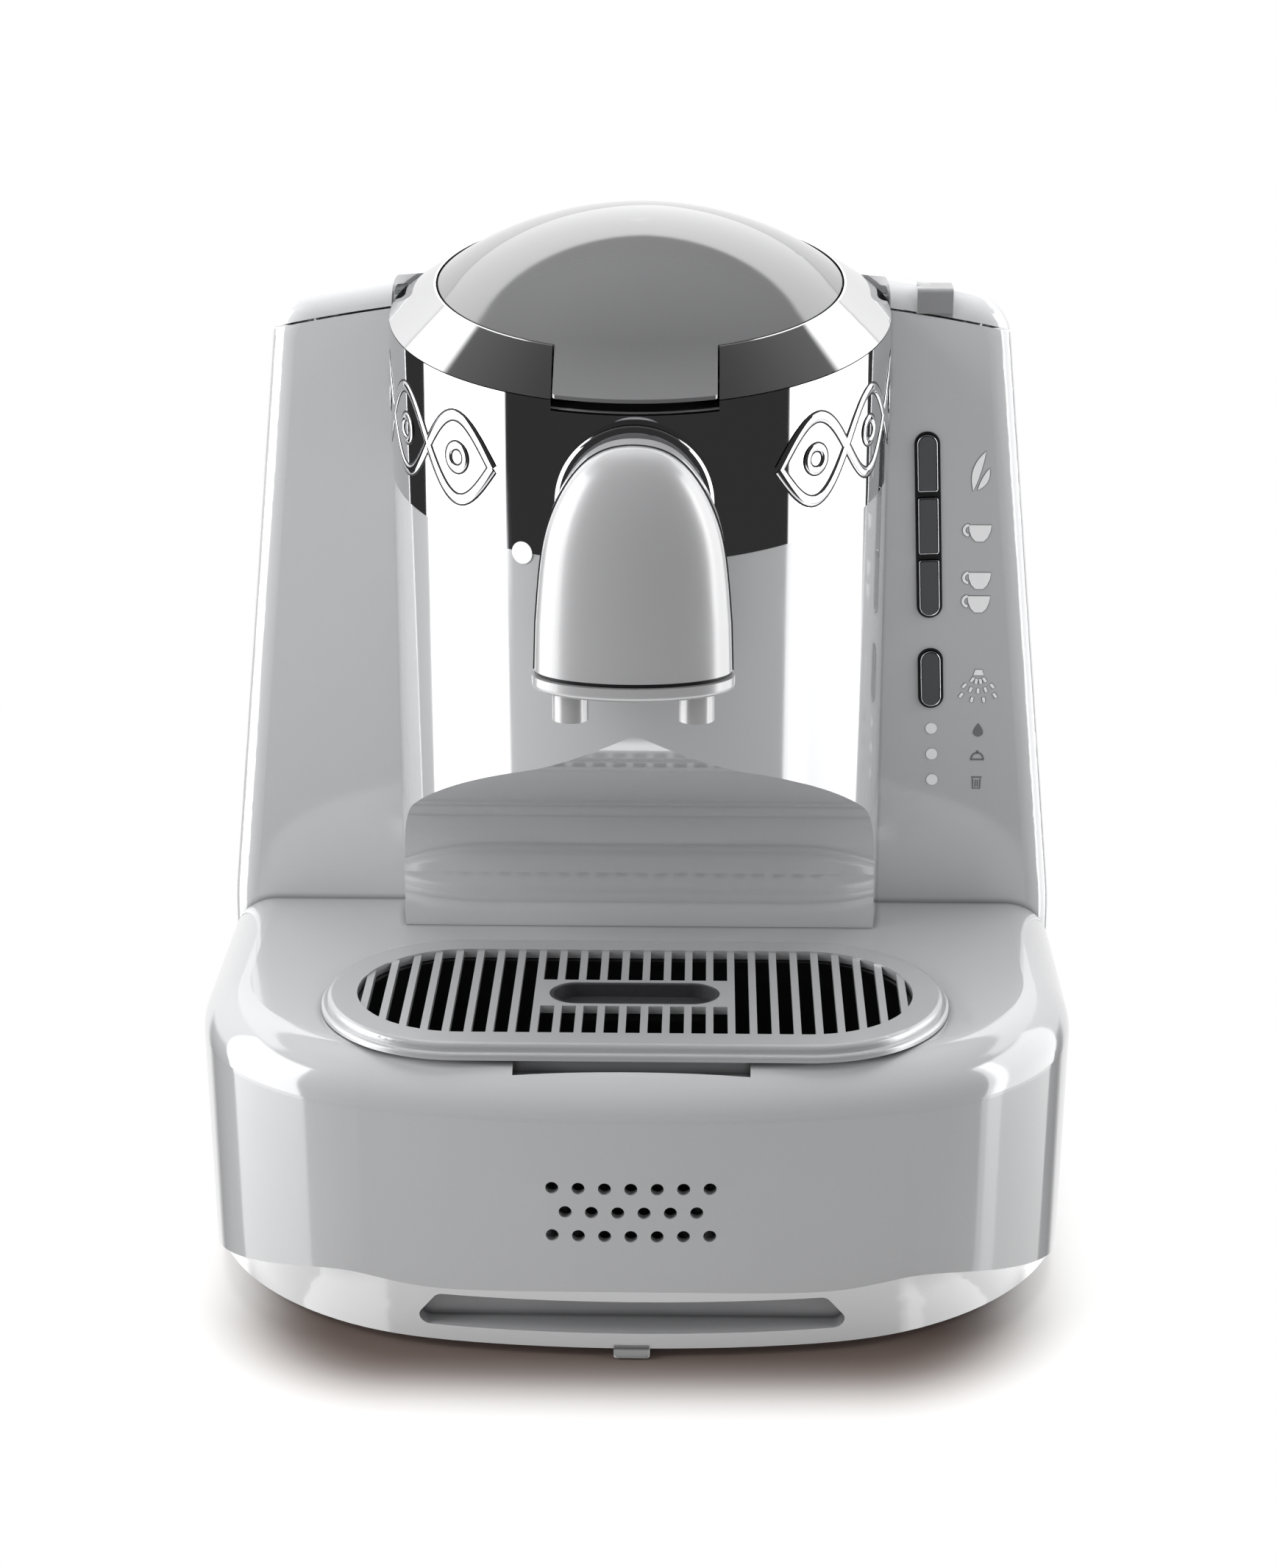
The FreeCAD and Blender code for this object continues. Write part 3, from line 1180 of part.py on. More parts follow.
def spout_profile(shrink):
    """Half outline of the spout from its top down, as a spline through a few heights."""
    height = mm.spout_top - shrink - mm.spout_bottom
    points = []
    for share, width in ((0, 0), (0.13, 0.6), (0.31, 0.82), (0.52, 0.93), (0.76, 0.98), (1, 1)):
        points.append(Vector(width * (mm.spout_half - shrink), 0, mm.spout_top - shrink - share * height))
    curve = Part.BSplineCurve()
    curve.interpolate(points, InitialTangent=Vector(1, 0, 0), FinalTangent=Vector(0.03, 0, -1))
    return curve.toShape(), points[0], points[-1]


def spout_egg(face, bulge, half):
    """Turns a half profile half round towards the front and flattens it front to back."""
    egg = face.revolve(Vector(0, 0, 0), Vector(0, 0, 1), -180)
    squeeze = FreeCAD.Matrix()
    squeeze.scale(Vector(1, bulge / half, 1))
    egg = egg.transformGeometry(squeeze)
    egg.translate(Vector(0, cover_rear, 0))
    return egg


def spout_slab(shrink, low, start, end):
    """The spout's outline drawn out front to back."""
    edge, top, bottom = spout_profile(shrink)
    mirror = FreeCAD.Matrix(-1, 0, 0, 0, 0, 1, 0, 0, 0, 0, 1, 0, 0, 0, 0, 1)
    right_foot = Vector(bottom.x, 0, low)
    left_foot = Vector(-bottom.x, 0, low)
    outline = [edge, edge.transformGeometry(mirror), line(left_foot, right_foot)]
    if low < bottom.z - 1e-6:
        outline += [line(bottom, right_foot), line(Vector(-bottom.x, 0, bottom.z), left_foot)]
    face = Part.Face(Part.Wire(Part.__sortEdges__(outline)))
    face.translate(Vector(0, start, 0))
    return face.extrude(Vector(0, end - start, 0))


def spout_cover():
    """Front shell of the spout, bulging forward."""
    outer, outer_top, outer_foot = spout_profile(0)
    inner, inner_top, inner_foot = spout_profile(mm.spout_wall)
    outline = [outer, line(outer_foot, inner_foot), inner, line(inner_top, outer_top)]
    face = Part.Face(Part.Wire(Part.__sortEdges__(outline)))
    return spout_egg(face, mm.spout_bulge, mm.spout_half)


feature("spout_cover", spout_cover())

trim_width = 0.8


def spout_trim():
    """Bright line around the spout, between its two shells."""
    outer = spout_slab(-0.35, mm.spout_bottom, cover_rear + 0.02, cover_rear + trim_width)
    inner = spout_slab(1.4, mm.spout_bottom - 5, cover_rear - 1, cover_rear + trim_width + 1)
    return outer.cut(inner)


feature("spout_trim", spout_trim())

lip_top = mm.spout_bottom - mm.spout_gap
lip_bottom = lip_top - mm.lip_thickness
nozzle_y = cover_rear - 0.5
nozzle_x = mm.nozzle_spacing / 2


def half_oval(wide, deep, low, high):
    """Front half of an oval disc under the spout."""
    oval = Part.Wire([Part.Ellipse(Vector(0, cover_rear, low), wide, deep).toShape()])
    solid = Part.Face(oval).extrude(Vector(0, 0, high - low))
    return solid.common(box(Vector(-FAR, -FAR, 0), Vector(FAR, cover_rear, FAR)))


def nozzle_bores():
    """Holes for the nozzles' sleeves."""
    return [Part.makeCylinder(mm.nozzle_bore + mm.tube_wall + mm.running_gap, 20,
                              Vector(x, nozzle_y, lip_bottom - 5)) for x in (-nozzle_x, nozzle_x)]


def spout_body():
    """Rear shell of the spout with the lower lip that carries the nozzles."""
    start = cover_rear + trim_width + 0.02
    end = spout_rear - 0.02
    outer = spout_slab(0, lip_top, start, end)
    inner = spout_slab(mm.spout_wall, lip_top, start - 1, end - mm.spout_wall)
    shell = outer.cut(inner)
    wide = mm.spout_half + 0.7
    lip = half_oval(wide, mm.spout_bulge + 0.7, lip_bottom, lip_top)
    lip = lip.fuse(box(Vector(-wide, cover_rear, lip_bottom), Vector(wide, end, lip_top))).removeSplitter()
    lip = lip.makeFillet(1.4, edges_at_height(lip, lip_bottom))
    tube = rod(Vector(0, spout_rear - 10, mm.spout_level), Vector(0, spout_rear + 10, mm.spout_level),
               mm.tube_radius + mm.running_gap)
    return shell.fuse(lip).cut(nozzle_bores() + [tube]).removeSplitter()


feature("spout_body", spout_body())


def spout_gasket():
    """Dark strip between the spout's cover and its lip."""
    wide, deep = mm.spout_half - 0.9, mm.spout_bulge - 0.9
    strip = half_oval(wide, deep, lip_top + 0.02, mm.spout_bottom - 0.02)
    return strip.cut(nozzle_bores())


feature("spout_gasket", spout_gasket())

NOZZLE_Y = (f"{COLUMN} - Sizes.column_radius - Sizes.band_proud - Sizes.neck_length"
            " - Sizes.spout_back - 0.5")
LIP_BOTTOM = "(Sizes.spout_bottom - Sizes.spout_gap - Sizes.lip_thickness)"
nozzles = []
for side_name, side in (("left", "-Sizes.nozzle_spacing / 2"), ("right", "Sizes.nozzle_spacing / 2")):
    outer = bound_cylinder(f"nozzle_skirt_{side_name}", "Sizes.nozzle_radius", "Sizes.nozzle_length",
                           side, NOZZLE_Y, f"{LIP_BOTTOM} - Sizes.nozzle_length - 0.02")
    sleeve = bound_cylinder(f"nozzle_sleeve_{side_name}", "Sizes.nozzle_bore + Sizes.tube_wall",
                            "Sizes.nozzle_length + Sizes.lip_thickness + 4",
                            side, NOZZLE_Y, f"{LIP_BOTTOM} - Sizes.nozzle_length - 0.02")
    bore = bound_cylinder(f"nozzle_bore_{side_name}", "Sizes.nozzle_bore", "Sizes.nozzle_length * 3",
                          side, NOZZLE_Y, f"{LIP_BOTTOM} - Sizes.nozzle_length - 5")
    whole = doc.addObject("Part::MultiFuse", f"nozzle_blank_{side_name}")
    whole.Shapes = [outer, sleeve]
    nozzle = doc.addObject("Part::Cut", f"nozzle_{side_name}")
    nozzle.Base, nozzle.Tool = whole, bore
    nozzles.append(nozzle)
group("pour_nozzles", nozzles)

feature("sensor_window", radial(mm.column_radius - mm.column_wall - 1, mm.column_radius + mm.band_proud,
                                mm.window_radius))
feature("sensor_body", radial(mm.pot_radius + mm.fit_gap, mm.column_radius - mm.column_wall - 1.1, 4.2))


def ring_tiers():
    """The grille ring: a skirt and a narrower upper tier, both with softened edges."""
    seat = mm.deck_height + mm.ring_seat
    step = seat + mm.ring_skirt_height
    top = seat + mm.ring_height
    skirt = stadium(mm.ring_skirt, seat, step)
    skirt = skirt.makeFillet(0.9, edges_at_height(skirt, step))
    upper = stadium(mm.ring_radius, seat, top)
    upper = upper.makeFillet(1.4, edges_at_height(upper, top))
    return skirt.fuse(upper), seat, step, top


def cup_grille():
    """Ring with bars along Y, a middle rail and an opening for the dark pocket."""
    ring, seat, step, top = ring_tiers()
    opening = stadium(mm.grille_opening, seat - 5, top + 5)
    rebate = stadium(mm.container_flange + mm.fit_gap, seat - 5, seat + mm.flange_thickness)
    ring = ring.cut([opening, rebate])
    bar_top = top - mm.bar_sink
    bar_low = bar_top - mm.bar_height
    field = stadium(mm.grille_opening + 0.6, bar_low, bar_top)
    reach = mm.tray_half_length + mm.grille_opening
    count = int(reach // mm.bar_pitch)
    bars = []
    for index in range(-count - 1, count + 1):
        x = (index + 0.5) * mm.bar_pitch
        bars.append(box(Vector(x - mm.bar_width / 2, tray_y - 60, bar_low),
                        Vector(x + mm.bar_width / 2, tray_y + 60, bar_top)))
    pocket_y = tray_y - mm.pocket_shift
    rail_end = (math.ceil((mm.pocket_half + mm.pocket_radius) / mm.bar_pitch - 0.5) + 0.5) * mm.bar_pitch
    rail = box(Vector(-rail_end, pocket_y - mm.rail_half, bar_low),
               Vector(rail_end, pocket_y + mm.rail_half, bar_top))
    grid = bars[0].fuse(bars[1:] + [rail]).common(field)
    pocket = stadium(mm.pocket_radius + mm.running_gap, bar_low - 5, top + 5, mm.pocket_half, pocket_y)
    grid = grid.cut(pocket)
    return ring.fuse(grid).removeSplitter()


feature("cup_grille", cup_grille())


def grille_pocket():
    """Dark dish let into the middle of the grille."""
    bar_top = mm.deck_height + mm.ring_seat + mm.ring_height - mm.bar_sink
    pocket_y = tray_y - mm.pocket_shift
    outer = stadium(mm.pocket_radius, bar_top - mm.pocket_depth, bar_top - 0.2, mm.pocket_half, pocket_y)
    inner = stadium(mm.pocket_radius - 1, bar_top - mm.pocket_depth + 1.2, bar_top + 5,
                    mm.pocket_half, pocket_y)
    drains = [Part.makeCylinder(1.2, 10, Vector(x, pocket_y, bar_top - mm.pocket_depth - 2))
              for x in (-12, 0, 12)]
    return outer.cut([inner] + drains)


feature("grille_pocket", grille_pocket())


def drip_container():
    """Tub under the grille, hung in the deck by its flange."""
    seat = mm.deck_height + 0.02
    low = seat - mm.container_depth
    tub = stadium(mm.container_radius, low, seat)
    tub = tub.makeFillet(3, edges_at_height(tub, low))
    flange = stadium(mm.container_flange, seat, seat + mm.flange_thickness)
    hollow = stadium(mm.container_radius - mm.container_wall, low + mm.container_wall, seat + 5)
    hollow = hollow.makeFillet(2, edges_at_height(hollow, low + mm.container_wall))
    return tub.fuse(flange).cut(hollow).removeSplitter()


feature("drip_container", drip_container())

# Button panel: two bright frames, four buttons, three lamps and the board behind them
corner_small = 0.7


def button_rounding(name):
    """Upper and lower corner radii of a button."""
    full = mm.button_width / 2 - 0.02
    return {
        "warm": (full, corner_small),
        "one_cup": (corner_small, corner_small),
        "two_cups": (corner_small, full),
        "clean": (full, full),
    }[name]


def button_opening(name, level, frame_level):
    """Opening for a button in its frame, in the frame's own place."""
    top, bottom = button_rounding(name)
    grow = mm.button_gap
    opening = rounded_bar(mm.button_width + 2 * grow, mm.button_length + 2 * grow, -10, 10,
                          top + grow, bottom + grow)
    lean = math.cos(math.radians(mm.button_lean))
    opening.translate(Vector(0, 0, (level - frame_level) / lean))
    return opening


def button_frame(names, frame_level, length):
    """Bright surround of one or more buttons."""
    bar = rounded_bar(frame_width, length, -mm.frame_proud, mm.frame_depth, round_end, round_end)
    cuts = [button_opening(name, button_levels[name], frame_level) for name in names]
    return on_panel(bar.cut(cuts), frame_level)


feature("button_frame_upper", button_frame(("warm", "one_cup", "two_cups"), mm.button_level, upper_length))
feature("button_frame_lower", button_frame(("clean",), mm.clean_level, lower_length))


def button(name):
    """Button cap with its stem."""
    top, bottom = button_rounding(name)
    front = -mm.frame_proud - mm.button_proud
    back = front + mm.button_depth
    cap = rounded_bar(mm.button_width, mm.button_length, front, back, top, bottom)
    cap = cap.makeFillet(0.35, [e for e in cap.Edges
                                if all(abs(v.Y - front) < 1e-4 for v in e.Vertexes)])
    stem_end = mm.wall + mm.board_gap - mm.switch_height - mm.button_travel - mm.fit_gap
    stem = rod(Vector(0, back - 0.5, 0), Vector(0, stem_end, 0), mm.stem_radius)
    return on_panel(cap.fuse(stem), button_levels[name])


for button_name in button_levels:
    feature(f"button_{button_name}", button(button_name))

LEAN = "tan(Sizes.button_lean * 1 deg)"
lenses = []
for index, step in enumerate(("-1", "0", "1")):
    level = f"(Sizes.led_level + {step} * Sizes.led_pitch)"
    lenses.append(bound_cylinder(f"lens_{index}", "Sizes.led_radius", "Sizes.led_length",
                                 f"Sizes.button_offset + (Sizes.button_level - {level}) * {LEAN}",
                                 f"{TOWER} - 0.15 + Sizes.led_length", level,
                                 Rotation(Vector(1, 0, 0), 90)))
group("lamp_lenses", lenses)

board_level = (mm.button_level + mm.led_level) / 2 + 4
board_y = tower_y + mm.wall + mm.board_gap
board = new_body("control_board")
board_sketch = new_sketch(board, "board_outline", "XZ_Plane")
BOARD_HALF = "Sizes.board_width / 2"
draw_polygon(board_sketch, [(f"-{BOARD_HALF}", "-Sizes.board_length / 2"),
                            (BOARD_HALF, "-Sizes.board_length / 2"),
                            (BOARD_HALF, "Sizes.board_length / 2"),
                            (f"-{BOARD_HALF}", "Sizes.board_length / 2")])
pad(board, board_sketch, "board_plate", "Sizes.board_thickness", True)
place(board, "Sizes.button_offset + 3", f"{TOWER} + Sizes.wall + Sizes.board_gap",
      "(Sizes.button_level + Sizes.led_level) / 2 + 4")

posts = []
for x in (-1, 1):
    for z in (-1, 1):
        centre_x = mm.button_offset + 3 + x * (mm.board_width / 2 - 3.4)
        centre_z = board_level + z * (mm.board_length / 2 - 4)
        post = doc.addObject("Part::Feature", "board_post")
        post.Shape = rod(Vector(centre_x, tower_y + mm.wall, centre_z),
                         Vector(centre_x, board_y, centre_z), mm.post_radius)
        posts.append(post)
group("board_posts", posts)

switches = []
for name, level in button_levels.items():
    half = mm.switch_size / 2
    body = box(Vector(-half, 0, -half), Vector(half, mm.switch_height - mm.nub_length, half))
    nub = rod(Vector(0, -mm.nub_length, 0), Vector(0, mm.nub_length / 2, 0), mm.stem_radius)
    shape = body.fuse(nub)
    shape.translate(Vector(button_x(level), board_y - mm.switch_height + mm.nub_length, level))
    switch = doc.addObject("Part::Feature", f"switch_{name}")
    switch.Shape = shape
    switches.append(switch)
group("key_switches", switches)


def speaker():
    """Loudspeaker behind the sound holes: basket, cone and magnet."""
    face = front_y + mm.wall + 1.4
    at = Vector(0, face, mm.speaker_height)
    back = Vector(0, 1, 0)
    rim = rod(at, at + back * 2.5, mm.speaker_radius)
    basket = Part.makeCone(mm.speaker_radius - 2, 10, mm.speaker_depth - 5, at + back * 2, back)
    magnet = rod(at + back * (mm.speaker_depth - 4), at + back * mm.speaker_depth, 11)
    cone = Part.makeCone(mm.speaker_radius - 4, 5, mm.speaker_depth - 7, at - back * 0.01, back)
    return rim.fuse([basket, magnet]).cut(cone)


feature("speaker", speaker())

# Water side: cradle, valve, tank, hoses and pump
valve_at = Vector(-mm.valve_offset, back_y - mm.wall - mm.apron_draft - mm.pump_radius - mm.pump_gap, 0)
cradle_top = mm.tank_base - mm.fit_gap
cradle_low = cradle_top - mm.cradle_thickness
tank_front = column_y + mm.column_radius + mm.tank_gap
tank_rear = tower_back - mm.running_gap
tower_inner_back = tower_back - mm.wall
tank_top = (mm.crown_height - mm.crown_bow - roof_fall(tower_back) - mm.tank_headroom
            + math.sqrt((mm.crown_bow - mm.seam_drop) ** 2 - mm.tank_half ** 2))


def cradle():
    """Shelf in the tower on which the tank stands."""
    plate = box(Vector(-mm.tank_half - 4, tank_front - 4, cradle_low),
                Vector(mm.tank_half + 4, tower_inner_back - mm.running_gap, cradle_top))
    lip = box(Vector(-mm.tank_half - 4, tank_front - 4, cradle_low),
              Vector(mm.tank_half + 4, tank_front - 1, cradle_top + 6))
    hole = Part.makeCylinder(mm.valve_radius + mm.fit_gap, 40, valve_at + Vector(0, 0, cradle_low - 10))
    return plate.fuse(lip).removeSplitter().cut(hole)


feature("tank_cradle", cradle())


def valve_socket():
    """Cup under the cradle that receives the tank's valve."""
    low = cradle_low - 8
    cup = Part.makeCylinder(mm.valve_radius + 3, 8 - 0.02, valve_at + Vector(0, 0, low))
    bore = Part.makeCylinder(mm.valve_radius + mm.fit_gap, 20, valve_at + Vector(0, 0, low + 3))
    nipple = Part.makeCylinder(mm.hose_bore - mm.running_gap, 14, valve_at + Vector(0, 0, low - 6))
    channel = Part.makeCylinder(1.2, 60, valve_at + Vector(0, 0, low - 20))
    return cup.fuse(nipple).cut([bore, channel])


feature("valve_socket", valve_socket())

cap_axis = Vector(0, tower_back - mm.cap_hinge_inset,
                  mm.crown_height - roof_fall(tower_back) - mm.cap_hinge_drop)
cap_ear_start = mm.cap_knuckle_width / 2 + mm.fit_gap
cap_ear_end = cap_ear_start + 4


def along_cap_hinge(side, low, high, radius):
    """Cylinder on the top cover's hinge axis, near one knuckle."""
    middle = Vector(side * mm.cap_knuckle_offset, cap_axis.y, cap_axis.z)
    return rod(middle + Vector(low, 0, 0), middle + Vector(high, 0, 0), radius)


def water_tank():
    """Tank with its tall back panel, which carries the top cover's hinge."""
    body = box(Vector(-mm.tank_half, tank_front, mm.tank_base), Vector(mm.tank_half, tank_rear, tank_top))
    upright = [e for e in body.Edges if abs(e.tangentAt(e.FirstParameter).z) > 0.99
               and e.CenterOfMass.y < tank_front + 1]
    body = body.makeFillet(mm.tank_corner, upright)
    hollow = box(Vector(-mm.tank_half + mm.tank_wall, tank_front + mm.tank_wall, mm.tank_base + mm.tank_wall),
                 Vector(mm.tank_half - mm.tank_wall, tank_rear - mm.tank_wall, tank_top + 5))
    inside = [e for e in hollow.Edges if abs(e.tangentAt(e.FirstParameter).z) > 0.99]
    hollow = hollow.makeFillet(mm.tank_corner - mm.tank_wall, inside)
    panel = box(Vector(-mm.tank_half, tank_rear - mm.tank_wall, tank_top - 2),
                Vector(mm.tank_half, tank_rear, FAR))
    panel = panel.common(tower_full).common(under_seam(mm.seam_gap))
    shell = body.cut(hollow).fuse(panel)
    cuts, eyes, bores = [], [], []
    for side in (-1, 1):
        middle = side * mm.cap_knuckle_offset
        room = cap_ear_start
        cuts.append(box(Vector(middle - room, tank_rear - 8, cap_axis.z - mm.cap_knuckle - mm.fit_gap),
                        Vector(middle + room, back_y + 5, FAR)))
        for low, high in ((-cap_ear_end, -cap_ear_start), (cap_ear_start, cap_ear_end)):
            eyes.append(along_cap_hinge(side, low, high, mm.cap_knuckle))
        bores.append(along_cap_hinge(side, -20, 20, mm.cap_pin_radius + mm.running_gap))
    outlet = Part.makeCylinder(mm.valve_radius - 2, 20, valve_at + Vector(0, 0, mm.tank_base - 5))
    return shell.cut(cuts).fuse(eyes).cut(bores + [outlet])


feature("water_tank", water_tank())


def tank_valve():
    """Outlet valve pressed into the tank's floor."""
    low = mm.tank_base - mm.valve_length
    stem = Part.makeCylinder(mm.valve_radius - 2 - mm.running_gap, mm.valve_length + 6,
                             valve_at + Vector(0, 0, low + 1))
    skirt = Part.makeCylinder(mm.valve_radius, mm.valve_length - 0.05, valve_at + Vector(0, 0, low))
    channel = Part.makeCylinder(2.2, 40, valve_at + Vector(0, 0, low - 5))
    return skirt.fuse(stem).cut(channel)


feature("tank_valve", tank_valve())


def tank_lid():
    """Arched top cover around the column, hinged on the tank's back."""
    solid = tower_full.cut(tower_hollow).cut(under_seam(0))
    cut = column_tool(mm.column_radius + mm.band_proud + mm.cap_cut_gap, 0, FAR)
    tab_low = Vector(mm.finger_tab_offset - mm.finger_tab_width / 2, tower_y - 0.4, mm.finger_tab_level)
    tab_high = Vector(mm.finger_tab_offset + mm.finger_tab_width / 2, tower_y + mm.finger_tab_depth,
                      mm.finger_tab_level + mm.finger_tab_height + 1)
    block = box(tab_low, tab_high)
    edges = [e for e in block.Edges if e.CenterOfMass.z > tab_high.z - 0.1 and e.CenterOfMass.y < tab_low.y + 0.1]
    block = block.makeFillet(1.2, edges)
    shell = solid.cut(cut).fuse(block)
    arms = []
    for side in (-1, 1):
        middle = side * mm.cap_knuckle_offset
        arms.append(along_cap_hinge(side, -mm.cap_knuckle_width / 2, mm.cap_knuckle_width / 2, mm.cap_knuckle))
        arm_low = Vector(middle - mm.cap_knuckle_width / 2, cap_axis.y - 2, cap_axis.z)
        arm_high = Vector(middle + mm.cap_knuckle_width / 2, cap_axis.y + 0.8, FAR)
        arms.append(box(arm_low, arm_high).common(tower_full))
    shell = shell.fuse(arms)
    bores = [along_cap_hinge(side, -20, 20, mm.cap_pin_radius + mm.running_gap) for side in (-1, 1)]
    shell = shell.cut(bores)
    return sorted(shell.Solids, key=lambda part: part.Volume)[-1]


feature("tank_lid", tank_lid())

cap_pins = []
for side_name, sign in (("left", "-1"), ("right", "1")):
    cap_pins.append(bound_cylinder(
        f"cap_pin_{side_name}", "Sizes.cap_pin_radius",
        "Sizes.cap_knuckle_width + 2 * (Sizes.fit_gap + 4)",
        f"{sign} * Sizes.cap_knuckle_offset - Sizes.cap_knuckle_width / 2 - Sizes.fit_gap - 4",
        f"{TOWER_BACK} - Sizes.cap_hinge_inset",
        f"Sizes.crown_height - ({TOWER_BACK} - {TOWER}) * tan(Sizes.roof_slope * 1 deg) - Sizes.cap_hinge_drop",
        Rotation(Vector(0, 1, 0), 90)))
group("tank_lid_pins", cap_pins)

pump_level = cover_top + mm.pump_lift + mm.pump_radius
pump_at = Vector(valve_at.x, valve_at.y, pump_level)


def water_pump():
    """Pump lying across the machine under the tank's valve, with its two nipples."""
    start = pump_at - Vector(mm.pump_length / 2, 0, 0)
    barrel = rod(start, start + Vector(mm.pump_length, 0, 0), mm.pump_radius)
    end = barrel.fuse(rod(start + Vector(mm.pump_length - 1, 0, 0),
                          start + Vector(mm.pump_length + 5, 0, 0), mm.hose_bore - mm.running_gap))
    return end.fuse(rod(pump_at, pump_at + Vector(0, 0, mm.pump_radius + 7), mm.hose_bore - mm.running_gap))


feature("water_pump", water_pump())


def pump_mount():
    """Rubber saddle under the pump."""
    half = mm.pump_length / 2 - 8
    block = box(Vector(pump_at.x - half, pump_at.y - 13, cover_top + 0.02),
                Vector(pump_at.x + half, pump_at.y + 13, pump_level - 6))
    start = pump_at - Vector(mm.pump_length, 0, 0)
    return block.cut(rod(start, start + Vector(2 * mm.pump_length, 0, 0), mm.pump_radius + mm.running_gap))


feature("pump_mount", pump_mount())


def hose(points):
    """Hose along straight runs that are joined by tangent arcs."""
    edges = []
    previous = points[0]
    for index in range(1, len(points) - 1):
        before = (points[index - 1] - points[index]).normalize()
        after = (points[index + 1] - points[index]).normalize()
        half_turn = before.getAngle(after) / 2
        cut_back = mm.hose_bend / math.tan(half_turn)
        start = points[index] + before * cut_back
        end = points[index] + after * cut_back
        bisector = (before + after).normalize()
        centre = points[index] + bisector * (mm.hose_bend / math.sin(half_turn))
        middle = centre - bisector * mm.hose_bend
        edges += [line(previous, start), Part.Arc(start, middle, end).toShape()]
        previous = end
    edges.append(line(previous, points[-1]))
    path = Part.Wire(edges)
    direction = points[1] - points[0]

    def tube(radius):
        ring = Part.Wire([Part.makeCircle(radius, points[0], direction)])
        return path.makePipeShell([ring], True, True)

    return tube(mm.hose_radius).cut(tube(mm.hose_bore))


def tank_hose():
    """Straight hose from the valve's socket down to the pump."""
    top = valve_at + Vector(0, 0, cradle_low - 8 - 0.05)
    low = pump_at + Vector(0, 0, mm.pump_radius + 0.1)
    return rod(low, top, mm.hose_radius).cut(rod(low, top, mm.hose_bore))


feature("tank_hose", tank_hose())


def brew_hose():
    """Hose from the pump round to the back of the column and up to the pot."""
    rise_y = column_y + mm.column_radius - mm.column_wall - mm.hose_radius - 1
    start = pump_at + Vector(mm.pump_length / 2 + 0.1, 0, 0)
    level = mm.spout_level - 6
    route = [start, Vector(0, start.y, start.z), Vector(0, rise_y, start.z), Vector(0, rise_y, level),
             Vector(0, column_y + mm.pot_radius + 0.1, level)]
    return hose(route)


feature("brew_hose", brew_hose())

POWER_X = "(Sizes.base_width / 2 - Sizes.power_side)"
POWER_Y = "(Sizes.total_depth / 2 - Sizes.power_inset)"
power_board = new_body("power_board")
power_sketch = new_sketch(power_board, "power_outline", "XY_Plane")
draw_polygon(power_sketch, [("-Sizes.power_board_width / 2", "-Sizes.power_board_depth / 2"),
                            ("Sizes.power_board_width / 2", "-Sizes.power_board_depth / 2"),
                            ("Sizes.power_board_width / 2", "Sizes.power_board_depth / 2"),
                            ("-Sizes.power_board_width / 2", "Sizes.power_board_depth / 2")])
pad(power_board, power_sketch, "power_plate", "Sizes.board_thickness")
place(power_board, POWER_X, POWER_Y, f"{COVER_TOP} + Sizes.power_board_lift + 0.02")

power_posts = []
for x in ("-1", "1"):
    for y in ("-1", "1"):
        power_posts.append(bound_cylinder(
            "power_post", "Sizes.post_radius", "Sizes.power_board_lift",
            f"{POWER_X} + {x} * (Sizes.power_board_width / 2 - 6)",
            f"{POWER_Y} + {y} * (Sizes.power_board_depth / 2 - 6)",
            f"{COVER_TOP} + 0.01"))
group("power_board_posts", power_posts)

transformer = doc.addObject("Part::Box", "transformer")
bind(transformer, {"Length": "Sizes.power_board_width * 0.4", "Width": "Sizes.power_board_depth * 0.5",
                   "Height": "24"})
place(transformer, f"{POWER_X} - Sizes.power_board_width * 0.2",
      f"{POWER_Y} - Sizes.power_board_depth * 0.25",
      f"{COVER_TOP} + Sizes.power_board_lift + Sizes.board_thickness + 0.05")
keep(transformer, "transformer")


def cord_gland():
    """Bush in the lower case's back for the supply cord."""
    at = Vector(-mm.gland_offset, back_y, mm.gland_height)
    draft = mm.apron_draft * (mm.seam_height - mm.gland_height) / (mm.seam_height - mm.foot_height)
    outside = at.y - draft + 0.05
    neck = rod(Vector(at.x, outside - mm.wall - 8, at.z), Vector(at.x, back_y - 0.02, at.z), mm.gland_radius)
    inner_face = outside - mm.wall - 0.25
    nut = rod(Vector(at.x, inner_face - 4, at.z), Vector(at.x, inner_face, at.z), mm.gland_flange)
    bore = rod(Vector(at.x, outside - 40, at.z), Vector(at.x, back_y + 5, at.z), mm.gland_bore)
    return neck.fuse(nut).cut(bore)


feature("cord_gland", cord_gland())

doc.recompute()


def check(target):
    """Says what is wrong with a piece, or nothing."""
    shape = target.Shape
    if shape.isNull() or not shape.isValid() or not shape.Solids:
        return f"{target.Label} has no valid solid"
    return ""


for target in doc.Objects:
    if "Invalid" in target.State or "Error" in target.State:
        raise RuntimeError(f"{target.Label} is in state {target.State}")
problems = [check(target) for target in doc.Objects if target.isDerivedFrom("Part::Feature")
            and not target.isDerivedFrom("Part::Part2DObject")]
problems = [problem for problem in problems if problem]
if problems:
    raise RuntimeError("; ".join(problems))

os.makedirs("parts", exist_ok=True)
for target in nodes:
    target.Shape.exportStep(f"parts/{target.Label}.step")

